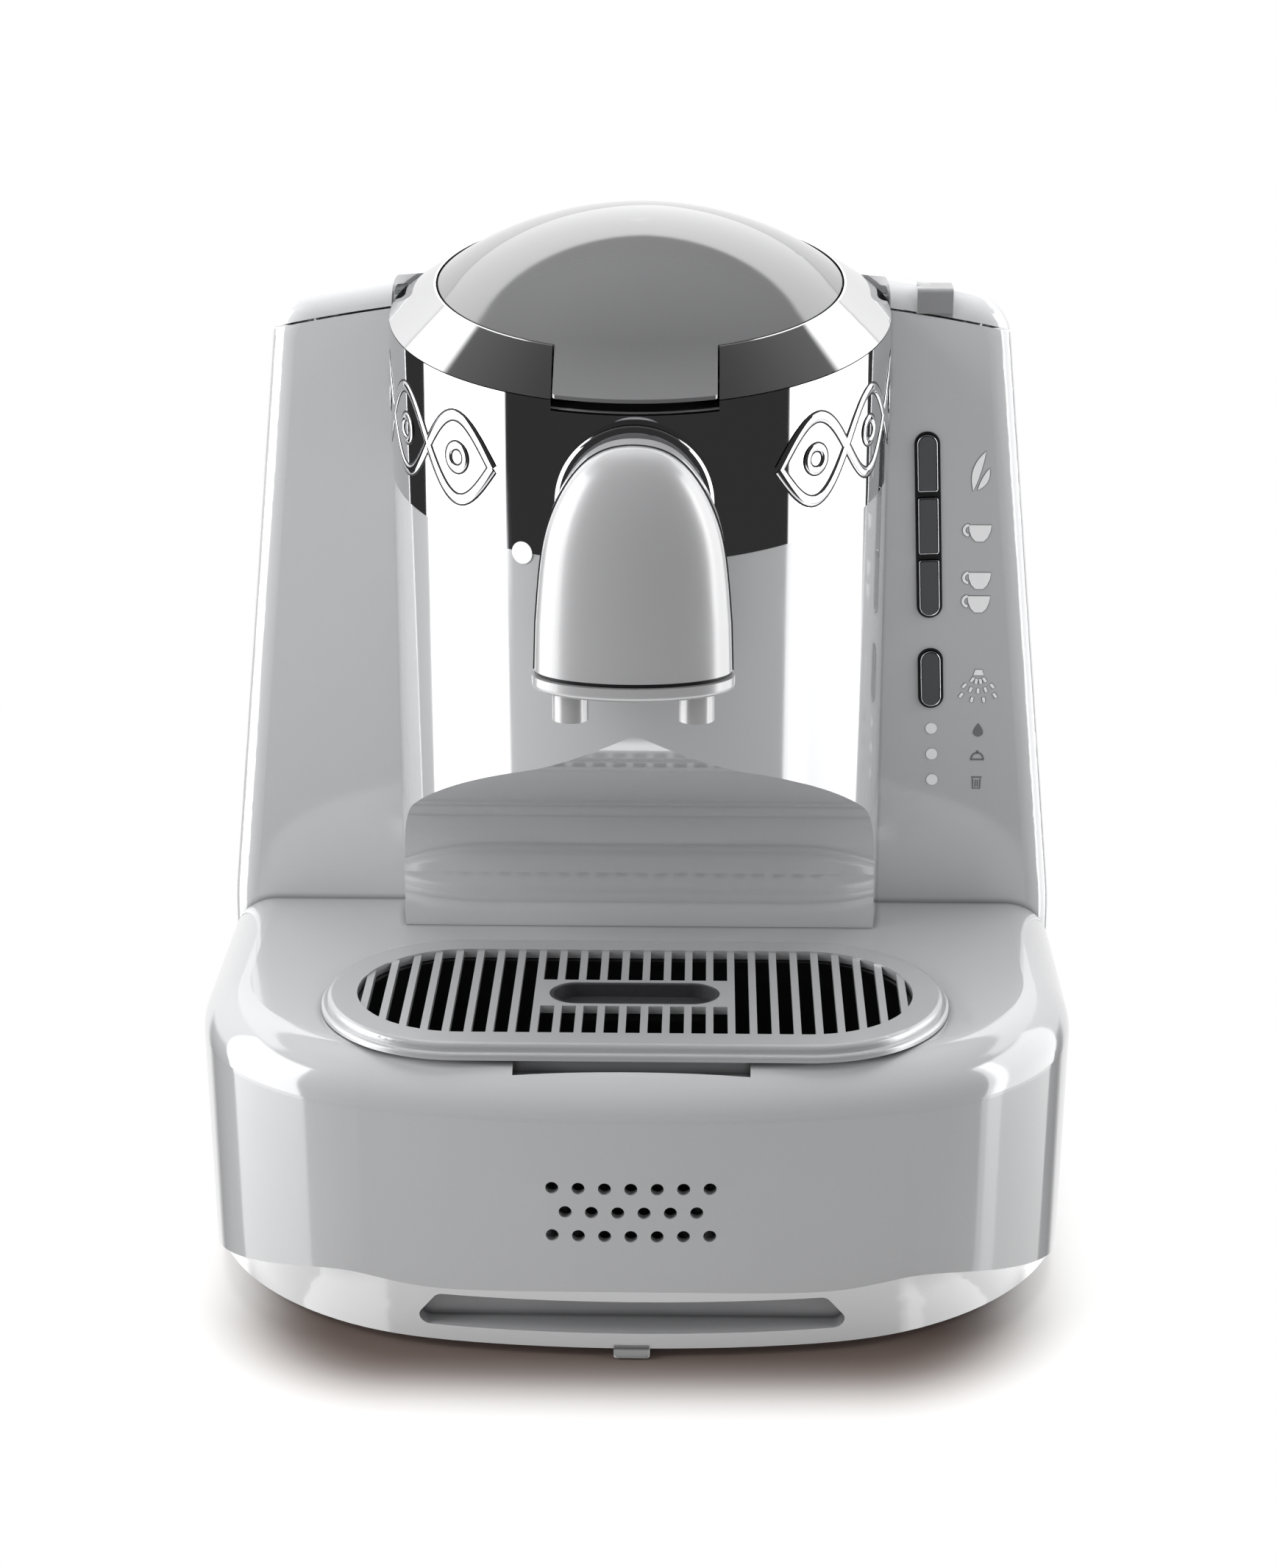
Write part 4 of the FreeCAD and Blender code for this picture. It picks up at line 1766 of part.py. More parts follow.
whole = Part.makeCompound([target.Shape for target in nodes])
bounds = whole.BoundBox
print("nodes", len(nodes))
print("box", [round(value, 2) for value in (bounds.XMin, bounds.YMin, bounds.ZMin,
                                            bounds.XMax, bounds.YMax, bounds.ZMax)])
for target in nodes:
    shape = target.Shape
    print(f"{target.Label}: {len(shape.Solids)} solid(s), {shape.Volume:.0f} mm3")
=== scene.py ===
# %% [markdown]
# # A coffee maker for small cups, dressed for its portrait
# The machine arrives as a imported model: every case, lid and screw is already there, in real metres.
# This notebook gives each surface the look it has on the real thing, and adds what the model leaves
# out: the frieze on the bright band, the small signs beside the buttons, and the studio around it.

import math

import bmesh
import bpy
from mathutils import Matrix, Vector


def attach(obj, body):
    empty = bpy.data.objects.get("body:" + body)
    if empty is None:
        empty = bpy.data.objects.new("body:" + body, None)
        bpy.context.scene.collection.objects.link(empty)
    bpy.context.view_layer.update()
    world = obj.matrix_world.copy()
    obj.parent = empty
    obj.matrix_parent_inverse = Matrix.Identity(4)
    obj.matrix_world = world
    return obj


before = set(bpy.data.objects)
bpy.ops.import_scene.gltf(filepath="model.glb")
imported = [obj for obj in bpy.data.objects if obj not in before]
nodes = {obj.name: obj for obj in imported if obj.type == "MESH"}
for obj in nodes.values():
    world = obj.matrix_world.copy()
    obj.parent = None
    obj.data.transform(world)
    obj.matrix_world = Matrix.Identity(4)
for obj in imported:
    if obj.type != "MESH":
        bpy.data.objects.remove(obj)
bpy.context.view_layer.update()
print("pieces in the model:", len(nodes))

# %% [markdown]
# ## The camera
# The picture was taken from a little above, with a long lens, almost straight from the front. A long
# lens keeps the column from bulging. The numbers below came from matching the machine's corners.

# %% Place the camera
camera_place = Vector((0.0184, -0.9048, 0.4349))
camera_pitch = math.radians(19.0)
camera_turn = math.radians(1.2)

camera_data = bpy.data.cameras.new("portrait_camera")
camera_data.lens = 76.0
camera_data.sensor_width = 36.0
camera = bpy.data.objects.new("portrait_camera", camera_data)
camera.location = camera_place
camera.rotation_euler = (math.pi / 2 - camera_pitch, 0.0, camera_turn)
bpy.context.collection.objects.link(camera)
bpy.context.scene.camera = camera
print("camera height above the table:", round(camera_place.z, 3), "m")

# %% [markdown]
# ## The studio
# Glossy plastic and plated metal show the room more than themselves. The upright white stripes on the
# column and the band are two tall light panels left and right of the machine, the dark parts between
# them are the unlit room around the camera, and the bright crescent on the lid is the pale cove over the
# wall behind. One could hang real light panels all round, but then every change of a highlight would
# also change how bright the whole machine is. So the work is split: soft area lights give the brightness
# and the shadows, and the room's shader holds the panels that only reflections see.

# %% A helper for light boxes
def light_box(name, place, target, width, height, power):
    """Adds a rectangle of soft light that reflections do not see."""
    data = bpy.data.lights.new(name, "AREA")
    data.shape = "RECTANGLE"
    data.size = width
    data.size_y = height
    data.energy = power
    lamp = bpy.data.objects.new(name, data)
    lamp.location = place
    aim = Vector(target) - Vector(place)
    lamp.rotation_euler = aim.to_track_quat("-Z", "Y").to_euler()
    lamp.visible_glossy = False
    lamp.visible_camera = False
    bpy.context.collection.objects.link(lamp)
    return lamp


# Name, place, aim, width and height in metres, and power in watts. The left side is the key light.
for name, place, aim, width, height, power in (
        ("left_box", (-1.2, -0.45, 0.75), (0, 0, 0.15), 0.8, 1.1, 23),
        ("right_box", (1.2, -0.3, 0.75), (0, 0, 0.15), 0.8, 1.1, 11),
        ("top_box", (0.0, 0.35, 1.5), (0, 0, 0.1), 1.4, 0.9, 26)):
    light_box(name, place, aim, width, height, power)

# %% [markdown]
# ### A room for the reflections
# A direction into the room is split into its compass angle, zero towards the camera, and its height.
# Each panel is a mask: one where the angle and the height lie between two limits, zero elsewhere.

# %% Masks on the room's directions
world = bpy.data.worlds.new("studio_room")
bpy.context.scene.world = world
world.use_nodes = True
room = world.node_tree
room.nodes.clear()


def maths(tree, operation, first, second=None):
    """Adds a maths node fed by sockets or plain numbers."""
    node = tree.nodes.new("ShaderNodeMath")
    node.operation = operation
    for index, value in enumerate((first, second)):
        if value is None:
            continue
        if isinstance(value, (int, float)):
            node.inputs[index].default_value = value
        else:
            tree.links.new(value, node.inputs[index])
    return node.outputs["Value"]


def times(first, *factors):
    """Multiplies values of the room's shader."""
    for factor in factors:
        first = maths(room, "MULTIPLY", first, factor)
    return first


def rise(value, low, high):
    """One above a limit and zero below it, with a soft edge from low to high."""
    node = room.nodes.new("ShaderNodeMapRange")
    node.interpolation_type = "SMOOTHSTEP"
    node.inputs["From Min"].default_value = low
    node.inputs["From Max"].default_value = high
    room.links.new(value, node.inputs["Value"])
    return node.outputs["Result"]


def between(value, low, high, soft):
    """One between two limits and zero outside them."""
    above = rise(value, low, low + soft)
    return maths(room, "SUBTRACT", above, rise(value, high - soft, high))


where = room.nodes.new("ShaderNodeTexCoord")
split = room.nodes.new("ShaderNodeSeparateXYZ")
room.links.new(where.outputs["Generated"], split.inputs["Vector"])
across, along, up = split.outputs["X"], split.outputs["Y"], split.outputs["Z"]
compass = maths(room, "ARCTAN2", across, times(along, -1.0))
print("room:", world.name)

# %% [markdown]
# ### The two panels
# The panels stand a little behind the machine on both sides. A panel of one brightness would make both
# corners of the case alike. On the real picture the right one is brighter along its front edge, which
# draws a narrow white stripe beside the case's corner, so a second, narrow mask is added there. Both
# grow dim towards the floor, which keeps the sloping lip from burning out.

# %% The two panels
SOFT = 0.03
left_panel = between(compass, math.radians(-116), math.radians(-62), SOFT)
right_panel = between(compass, math.radians(72), math.radians(130), SOFT)
right_stripe = between(compass, math.radians(76), math.radians(87), SOFT)
panels = maths(room, "ADD", times(left_panel, 2.9), times(right_panel, 2.1))
panels = maths(room, "ADD", panels, times(right_stripe, 1.7))
foot_light = 0.28
foot_dim = maths(room, "ADD", times(rise(up, -0.5, -0.3), 1.0 - foot_light), foot_light)
panels = times(panels, between(up, -0.95, 0.6, 0.06), foot_dim)
print("panels in place")

# %% [markdown]
# ### The wall, the cove and the ceiling
# Behind the machine a plain wall ends in a line that climbs to both sides, and a brighter cove stands
# over it up to the ceiling. The domed lid shows the cove as a crescent, and the ring around the lid
# shows it as two white wedges, with the darker wall outside them. All of it lies behind the machine, so
# the front of the ring and the band stay dark. A faint ceiling and floor keep the rest from going black.

# %% The wall, the cove and the ceiling
off_centre = maths(room, "ABSOLUTE", across)
wall_top = maths(room, "ADD", times(off_centre, 0.62), 0.15)
cove_top = maths(room, "ADD", times(off_centre, 0.08), 0.68)
below_wall_top = rise(maths(room, "SUBTRACT", wall_top, up), 0.0, 0.02)
below_cove_top = rise(maths(room, "SUBTRACT", cove_top, up), 0.0, 0.03)
behind = rise(along, 0.05, 0.2)
over_floor = rise(up, -0.12, 0.02)
straight_back = times(rise(along, 0.7, 0.8), rise(up, -0.75, -0.6))
wall = times(below_wall_top, behind, maths(room, "MAXIMUM", over_floor, straight_back))
cove = times(below_cove_top, behind, over_floor, maths(room, "SUBTRACT", 1.0, wall))
ceiling = times(rise(up, 0.1, 1.0), rise(along, -0.35, 0.9))
floor_glow = times(rise(times(up, -1.0), 0.42, 0.75), 1.3)
dark_room = 0.035

glow = maths(room, "MAXIMUM", panels, times(wall, 0.9))
glow = maths(room, "MAXIMUM", glow, times(cove, 1.25))
glow = maths(room, "ADD", glow, times(ceiling, 0.22))
glow = maths(room, "ADD", glow, maths(room, "ADD", floor_glow, dark_room))
print("wall, cove and ceiling in place")

# %% [markdown]
# ### Who sees which room
# The camera sees plain white behind the machine, mirrors see the panels, and the soft light on matt
# surfaces comes from an even, slightly cool sky. A light path node tells the three kinds of ray apart.

# %% Who sees which room
seen = room.nodes.new("ShaderNodeBackground")
seen.inputs["Strength"].default_value = 1.0
seen.inputs["Color"].default_value = (1.0, 1.0, 1.0, 1.0)
mirrored = room.nodes.new("ShaderNodeBackground")
mirrored.inputs["Color"].default_value = (1.0, 1.0, 1.0, 1.0)
room.links.new(glow, mirrored.inputs["Strength"])
fill = room.nodes.new("ShaderNodeBackground")
fill.inputs["Color"].default_value = (0.96, 0.97, 1.0, 1.0)
fill.inputs["Strength"].default_value = 0.42
path = room.nodes.new("ShaderNodeLightPath")
reflected = room.nodes.new("ShaderNodeMixShader")
room.links.new(path.outputs["Is Glossy Ray"], reflected.inputs["Fac"])
room.links.new(fill.outputs["Background"], reflected.inputs[1])
room.links.new(mirrored.outputs["Background"], reflected.inputs[2])
pick = room.nodes.new("ShaderNodeMixShader")
room.links.new(path.outputs["Is Camera Ray"], pick.inputs["Fac"])
room.links.new(reflected.outputs["Shader"], pick.inputs[1])
room.links.new(seen.outputs["Background"], pick.inputs[2])
out = room.nodes.new("ShaderNodeOutputWorld")
room.links.new(pick.outputs["Shader"], out.inputs["Surface"])
bpy.context.scene.view_settings.view_transform = "Standard"
print("view:", bpy.context.scene.view_settings.view_transform)

# %% [markdown]
# ### The table
# The table is a plain pale sheet. Near the machine it takes shadows, and further out it fades into the
# white of the room. Reflections look through it, because in the photograph the stripes on the case run
# on down to its foot as if nothing lay below.

# %% The sheet
table_mesh = bpy.data.meshes.new("table")
table_size = 6.0
table_mesh.from_pydata([(-table_size, -table_size, 0), (table_size, -table_size, 0),
                        (table_size, table_size, 0), (-table_size, table_size, 0)], [], [(0, 1, 2, 3)])
table = bpy.data.objects.new("table", table_mesh)
bpy.context.collection.objects.link(table)
table_white = bpy.data.materials.new("table_white")
table_white.use_nodes = True
sheet = table_white.node_tree
sheet.nodes.clear()
print("sheet:", table_size * 2, "m wide")

# %% [markdown]
# The machine's shadow is brownish, narrow at the sides and longer in front. The lights alone give a
# greyer and wider one, so the shader measures the distance from a block under the machine and uses it
# twice: once to paint a brownish shadow into the sheet's colour, and once to fade it into white before its
# far edge can show.

# %% How far a point of the sheet is from the machine
paper = sheet.nodes.new("ShaderNodeBsdfDiffuse")
white = sheet.nodes.new("ShaderNodeEmission")
white.inputs["Strength"].default_value = 1.0

# The shadow fades with the distance from a block under the machine, a little in front of its middle.
block_half = (0.062, 0.05, 0.0)
block_middle = -0.042
table_where = sheet.nodes.new("ShaderNodeTexCoord")
fold = sheet.nodes.new("ShaderNodeVectorMath")
fold.operation = "ABSOLUTE"
moved = sheet.nodes.new("ShaderNodeVectorMath")
moved.operation = "ADD"
moved.inputs[1].default_value = (0.0, -block_middle, 0.0)
sheet.links.new(table_where.outputs["Object"], moved.inputs[0])
sheet.links.new(moved.outputs["Vector"], fold.inputs[0])
past = sheet.nodes.new("ShaderNodeVectorMath")
past.operation = "SUBTRACT"
past.inputs[1].default_value = block_half
sheet.links.new(fold.outputs["Vector"], past.inputs[0])
outside = sheet.nodes.new("ShaderNodeVectorMath")
outside.operation = "MAXIMUM"
sheet.links.new(past.outputs["Vector"], outside.inputs[0])
reach = sheet.nodes.new("ShaderNodeVectorMath")
reach.operation = "LENGTH"
sheet.links.new(outside.outputs["Vector"], reach.inputs[0])


def table_fade(start, end):
    """Zero under the machine and one beyond a distance from its middle block."""
    node = sheet.nodes.new("ShaderNodeMapRange")
    node.interpolation_type = "SMOOTHSTEP"
    node.inputs["From Min"].default_value = start
    node.inputs["From Max"].default_value = end
    sheet.links.new(reach.outputs["Value"], node.inputs["Value"])
    return node.outputs["Result"]


print("fade ready")

# %% The painted shadow, the fade and what reflections see
# Painted shadow: the sheet's colour runs from dark brown near the machine to pale further out.
painted_shadow = sheet.nodes.new("ShaderNodeMix")
painted_shadow.data_type = "RGBA"
painted_shadow.inputs["A"].default_value = (0.13, 0.1, 0.088, 1.0)
painted_shadow.inputs["B"].default_value = (0.9, 0.885, 0.87, 1.0)
sheet.links.new(table_fade(0.02, 0.075), painted_shadow.inputs["Factor"])
sheet.links.new(painted_shadow.outputs["Result"], paper.inputs["Color"])
fade = table_fade(0.03, 0.082)
blend_out = sheet.nodes.new("ShaderNodeMixShader")
sheet.links.new(fade, blend_out.inputs["Fac"])
sheet.links.new(paper.outputs["BSDF"], blend_out.inputs[1])
sheet.links.new(white.outputs["Emission"], blend_out.inputs[2])
clear_sheet = sheet.nodes.new("ShaderNodeBsdfTransparent")
table_path = sheet.nodes.new("ShaderNodeLightPath")
through = sheet.nodes.new("ShaderNodeMixShader")
sheet.links.new(table_path.outputs["Is Glossy Ray"], through.inputs["Fac"])
sheet.links.new(blend_out.outputs["Shader"], through.inputs[1])
sheet.links.new(clear_sheet.outputs["BSDF"], through.inputs[2])
sheet_out = sheet.nodes.new("ShaderNodeOutputMaterial")
sheet.links.new(through.outputs["Shader"], sheet_out.inputs["Surface"])
table_mesh.materials.append(table_white)
print("table:", table.name)

# %% [markdown]
# ## Shared effects
# Several finishes share the same small faults: moulded plastic has a faint orange peel, and every
# polished part has been wiped and touched. Each such effect is one group of shader nodes, used by many
# materials with its own strength, so that the finishes look as if they lived in the same kitchen.

# %% Tools for making node groups
def new_group(name, inputs, outputs):
    """Starts a shader node group with float inputs and named outputs."""
    group = bpy.data.node_groups.new(name, "ShaderNodeTree")
    for label, value in inputs:
        socket = group.interface.new_socket(label, in_out="INPUT", socket_type="NodeSocketFloat")
        socket.default_value = value
    for label, kind in outputs:
        group.interface.new_socket(label, in_out="OUTPUT", socket_type=kind)
    start = group.nodes.new("NodeGroupInput")
    end = group.nodes.new("NodeGroupOutput")
    return group, start, end


def noise(tree, vector, scale, detail=2.0, roughness=0.5):
    """Adds a noise texture on a vector."""
    node = tree.nodes.new("ShaderNodeTexNoise")
    node.inputs["Scale"].default_value = scale
    node.inputs["Detail"].default_value = detail
    node.inputs["Roughness"].default_value = roughness
    tree.links.new(vector, node.inputs["Vector"])
    return node


# %% [markdown]
# Moulded gloss is never flat: it follows the mould's polish in waves a few millimetres long. One could
# shape them, but they are only microns high, so a bump height of two noises is enough.

# %% Orange peel: the faint waviness of moulded gloss
peel, peel_in, peel_out = new_group(
    "orange_peel", [("Wave mm", 9.0), ("Grain mm", 0.5), ("Grain share", 0.2)],
    [("Height", "NodeSocketFloat")])
peel_where = peel.nodes.new("ShaderNodeTexCoord")
peel_wave = noise(peel, peel_where.outputs["Object"], 1.0, 1.0)
peel_grain = noise(peel, peel_where.outputs["Object"], 1.0, 2.0)
peel.links.new(maths(peel, "DIVIDE", 1000.0, peel_in.outputs["Wave mm"]), peel_wave.inputs["Scale"])
peel.links.new(maths(peel, "DIVIDE", 1000.0, peel_in.outputs["Grain mm"]), peel_grain.inputs["Scale"])
peel_fine = maths(peel, "MULTIPLY", peel_grain.outputs["Fac"], peel_in.outputs["Grain share"])
peel.links.new(maths(peel, "ADD", peel_wave.outputs["Fac"], peel_fine), peel_out.inputs["Height"])
print("group:", peel.name)

# %% [markdown]
# A cloth and fingers leave patches that shine a little less. A broad noise, cut off below a level so
# that most of the surface stays clean, adds to the roughness.

# %% Handling: where a surface has been wiped and touched
wiped, wiped_in, wiped_out = new_group(
    "wiped_surface", [("Clean roughness", 0.1), ("Smear", 0.05), ("Smear mm", 30.0)],
    [("Roughness", "NodeSocketFloat")])
wiped_where = wiped.nodes.new("ShaderNodeTexCoord")
wiped_cloud = noise(wiped, wiped_where.outputs["Object"], 30.0, 4.0, 0.6)
wiped.links.new(maths(wiped, "DIVIDE", 1000.0, wiped_in.outputs["Smear mm"]), wiped_cloud.inputs["Scale"])
wiped_range = wiped.nodes.new("ShaderNodeMapRange")
wiped_range.inputs["From Min"].default_value = 0.35
wiped_range.inputs["From Max"].default_value = 0.75
wiped.links.new(wiped_cloud.outputs["Fac"], wiped_range.inputs["Value"])
wiped_extra = maths(wiped, "MULTIPLY", wiped_range.outputs["Result"], wiped_in.outputs["Smear"])
wiped.links.new(maths(wiped, "ADD", wiped_in.outputs["Clean roughness"], wiped_extra),
                wiped_out.inputs["Roughness"])
print("group:", wiped.name)

# %% [markdown]
# Paint and plastic drift a little in tone over a hand's width, and a metallic lacquer has fine flecks.
# Both are noises around one, so a material only has to multiply its colour by them.

# %% Tint drift: no moulding is one even colour
drift, drift_in, drift_out = new_group(
    "tint_drift", [("Spread", 0.03), ("Size mm", 60.0), ("Fleck", 0.0), ("Fleck mm", 0.35)],
    [("Factor", "NodeSocketFloat")])
drift_where = drift.nodes.new("ShaderNodeTexCoord")
drift_cloud = noise(drift, drift_where.outputs["Object"], 16.0, 3.0)
drift.links.new(maths(drift, "DIVIDE", 1000.0, drift_in.outputs["Size mm"]), drift_cloud.inputs["Scale"])
drift_fleck = noise(drift, drift_where.outputs["Object"], 1.0, 0.0)
drift.links.new(maths(drift, "DIVIDE", 1000.0, drift_in.outputs["Fleck mm"]), drift_fleck.inputs["Scale"])
drift_a = maths(drift, "MULTIPLY", maths(drift, "SUBTRACT", drift_cloud.outputs["Fac"], 0.5),
                drift_in.outputs["Spread"])
drift_b = maths(drift, "MULTIPLY", maths(drift, "SUBTRACT", drift_fleck.outputs["Fac"], 0.5),
                drift_in.outputs["Fleck"])
drift.links.new(maths(drift, "ADD", 1.0, maths(drift, "ADD", drift_a, drift_b)), drift_out.inputs["Factor"])
print("group:", drift.name)

# %% [markdown]
# Brushed steel carries scratches that are long one way and fine the other. A noise that is stretched
# along X gives the same height pattern without drawing a single scratch.

# %% Brushed grain: long fine scratches along one axis
grain, grain_in, grain_out = new_group(
    "brushed_grain", [("Across", 900.0), ("Along", 25.0)], [("Mask", "NodeSocketFloat")])
grain_where = grain.nodes.new("ShaderNodeTexCoord")
grain_stretch = grain.nodes.new("ShaderNodeCombineXYZ")
grain.links.new(grain_in.outputs["Along"], grain_stretch.inputs["X"])
grain.links.new(grain_in.outputs["Across"], grain_stretch.inputs["Y"])
grain.links.new(grain_in.outputs["Across"], grain_stretch.inputs["Z"])
grain_scale = grain.nodes.new("ShaderNodeVectorMath")
grain_scale.operation = "MULTIPLY"
grain.links.new(grain_where.outputs["Object"], grain_scale.inputs[0])
grain.links.new(grain_stretch.outputs["Vector"], grain_scale.inputs[1])
grain_lines = noise(grain, grain_scale.outputs["Vector"], 1.0, 3.0)
grain.links.new(grain_lines.outputs["Fac"], grain_out.inputs["Mask"])
print("group:", grain.name)

# %% [markdown]
# ## Finishes
# Nearly every outside part is a hard glossy plastic under clear lacquer, in greys that differ a little
# from part to part. One recipe serves them all: a base colour that drifts slightly, a coat on top, and
# a roughness that the wiping has changed.

# %% One recipe for moulded plastic
def plastic(name, colour, roughness, coat=0.0, metallic=0.0, wave=9.0, wave_mm=0.004,
            spread=0.03, fleck=0.0, smear=0.05, grain_mm=0.5, grain_share=0.2):
    """A moulded or lacquered plastic, with its colour and gloss slightly uneven."""
    material = bpy.data.materials.new(name)
    material.use_nodes = True
    tree = material.node_tree
    shader = tree.nodes["Principled BSDF"]
    shader.inputs["Metallic"].default_value = metallic
    shader.inputs["Coat Weight"].default_value = coat
    shader.inputs["Coat Roughness"].default_value = 0.03
    tint = tree.nodes.new("ShaderNodeGroup")
    tint.node_tree = drift
    tint.inputs["Spread"].default_value = spread
    tint.inputs["Fleck"].default_value = fleck
    blend = tree.nodes.new("ShaderNodeVectorMath")
    blend.operation = "SCALE"
    blend.inputs[0].default_value = colour
    tree.links.new(tint.outputs["Factor"], blend.inputs["Scale"])
    tree.links.new(blend.outputs["Vector"], shader.inputs["Base Color"])
    touch = tree.nodes.new("ShaderNodeGroup")
    touch.node_tree = wiped
    touch.inputs["Clean roughness"].default_value = roughness
    touch.inputs["Smear"].default_value = smear
    tree.links.new(touch.outputs["Roughness"], shader.inputs["Roughness"])
    skin = tree.nodes.new("ShaderNodeGroup")
    skin.node_tree = peel
    skin.inputs["Wave mm"].default_value = wave
    skin.inputs["Grain mm"].default_value = grain_mm
    skin.inputs["Grain share"].default_value = grain_share
    bump = tree.nodes.new("ShaderNodeBump")
    bump.inputs["Strength"].default_value = 1.0
    bump.inputs["Distance"].default_value = wave_mm / 1000.0
    tree.links.new(skin.outputs["Height"], bump.inputs["Height"])
    tree.links.new(bump.outputs["Normal"], shader.inputs["Normal"])
    return material


def dress(material, *names):
    """Gives a material to whole nodes of the model."""
    for name in names:
        slots = nodes[name].data.materials
        if len(slots) == 0:
            slots.append(material)
        for index in range(len(slots)):
            slots[index] = material


print("recipe for plastic ready")

# %% [markdown]
# ### The plastics and their tones
# The case, the deck, the tower and the top cover are one family of silver lacquer, but each catches the
# light differently, so each has its own tone: the differences between these greys are painted light and
# shade. The lid is the darkest, since it mirrors the cove. The hidden parts are plain moulding plastics with
# more grain and less shine.

# %% The plastics
# The different tones of these silver parts stand in for how the light falls on each: painted light and
# shade.
shell_silver = plastic("shell_silver", (0.435, 0.437, 0.443), 0.08, coat=0.8, metallic=0.16, fleck=0.04)
tower_silver = plastic("tower_silver", (0.56, 0.563, 0.57), 0.08, coat=0.8, metallic=0.16, fleck=0.04)
deck_silver = plastic("deck_silver", (0.45, 0.452, 0.458), 0.08, coat=0.9, metallic=0.2, fleck=0.03)
column_white = plastic("column_white", (0.6, 0.603, 0.61), 0.07, coat=1.0, metallic=0.35, fleck=0.02)
lid_pearl = plastic("lid_pearl", (0.25, 0.25, 0.253), 0.07, coat=1.0, metallic=0.6, fleck=0.05)
spout_pearl = plastic("spout_pearl", (0.49, 0.49, 0.495), 0.3, coat=0.5, metallic=0.45, fleck=0.03)
service_grey = plastic("service_grey", (0.3, 0.3, 0.31), 0.45, grain_share=1.5, wave_mm=0.02)
black_satin = plastic("black_satin", (0.012, 0.012, 0.013), 0.38, grain_share=1.5, wave_mm=0.02)
pocket_black = plastic("pocket_black", (0.03, 0.03, 0.032), 0.5, grain_mm=0.8, grain_share=3.0, wave_mm=0.05)
pump_white = plastic("pump_white", (0.7, 0.7, 0.68), 0.4)
board_green = plastic("board_green", (0.03, 0.16, 0.07), 0.35)
rubber_black = plastic("rubber_black", (0.02, 0.02, 0.02), 0.7, grain_share=2.0, wave_mm=0.03)
hose_milky = plastic("hose_milky", (0.7, 0.69, 0.66), 0.4)
coil_amber = plastic("coil_amber", (0.5, 0.3, 0.06), 0.45)

lid_silver = plastic("lid_silver", (0.6, 0.603, 0.61), 0.12, coat=0.8, metallic=0.16, fleck=0.04)
print("plastics:", len(bpy.data.materials))

# %% [markdown]
# ### Seams and the finger tab
# Narrow gaps look darker than their walls, because shade falls in them. One could paint each seam, but
# a shader can ask how open the place around a point is and darken the colour there, as painted shade. The
# finger tab on the top cover is a separate darker insert on the real one. A small box of space, measured
# from the model's origin, picks it out.

# %% Painted shade in the seams and a darker finger tab
def toned(material, factor):
    """Multiplies a material's base colour by a value of its own tree."""
    tree = material.node_tree
    colour = tree.nodes["Principled BSDF"].inputs["Base Color"]
    tone = tree.nodes.new("ShaderNodeVectorMath")
    tone.operation = "SCALE"
    tree.links.new(colour.links[0].from_socket, tone.inputs[0])
    tree.links.new(factor, tone.inputs["Scale"])
    tree.links.new(tone.outputs["Vector"], colour)


def paint_gap_shade(material, reach=0.002, share=0.9):
    """Paints shade into narrow gaps: darkens the base colour where little of the space around a point is
    open.
    """
    tree = material.node_tree
    corner = tree.nodes.new("ShaderNodeAmbientOcclusion")
    corner.samples = 8
    corner.inputs["Distance"].default_value = reach
    open_part = maths(tree, "MULTIPLY", corner.outputs["AO"], share)
    toned(material, maths(tree, "ADD", open_part, 1.0 - share))


# Painted shade in the narrow gaps of the case, the tower and the deck.
for silver in (shell_silver, tower_silver, deck_silver):
    paint_gap_shade(silver)

tab_middle, tab_half, tab_darker = (0.0813, 0.006), (0.00495, 0.0092), 0.55
lid_tree = lid_silver.node_tree
lid_where = lid_tree.nodes.new("ShaderNodeTexCoord")
lid_split = lid_tree.nodes.new("ShaderNodeSeparateXYZ")
lid_tree.links.new(lid_where.outputs["Object"], lid_split.inputs["Vector"])
on_tab = 1.0
for axis, middle, half in zip("XY", tab_middle, tab_half):
    away = maths(lid_tree, "ABSOLUTE", maths(lid_tree, "SUBTRACT", lid_split.outputs[axis], middle))
    on_tab = maths(lid_tree, "MULTIPLY", maths(lid_tree, "LESS_THAN", away, half), on_tab)
toned(lid_silver, maths(lid_tree, "SUBTRACT", 1.0, maths(lid_tree, "MULTIPLY", on_tab, tab_darker)))
print("seams on", shell_silver.name, tower_silver.name, deck_silver.name)

# %% [markdown]
# ### Handing out the plastics
# Each piece of the model takes one finish, so a finish is given to whole pieces by their names.

# %% Which piece is made of which plastic
dress(shell_silver, "lower_case", "bottom_cover")
dress(tower_silver, "tower_shell")
dress(lid_silver, "tank_lid")
dress(deck_silver, "deck_cover")
dress(column_white, "column_sleeve")
dress(lid_pearl, "brew_lid")
dress(spout_pearl, "spout_cover", "spout_body", "pour_nozzles")
dress(service_grey, "service_cover", "lid_liner", "chamber_funnel", "board_posts", "power_board_posts")
dress(black_satin, "tab_rest", "spout_gasket", "drip_container", "pot_carrier",
      "tank_cradle", "valve_socket", "speaker", "key_switches", "sensor_body")
dress(pocket_black, "grille_pocket")
dress(pump_white, "water_pump", "tank_valve")
dress(board_green, "control_board", "power_board")
dress(rubber_black, "rubber_feet", "lid_seal", "pump_mount", "cord_gland")
dress(hose_milky, "tank_hose", "brew_hose")
dress(coil_amber, "transformer")
print("plastics handed out")

# %% [markdown]
# ## Plated and brushed metal
# The band, the ring around the lid and the spout's collar are plated, so they mirror the light boxes
# with hard edges. The cup grille is satin: the same metal with fine scratches that spread the light.

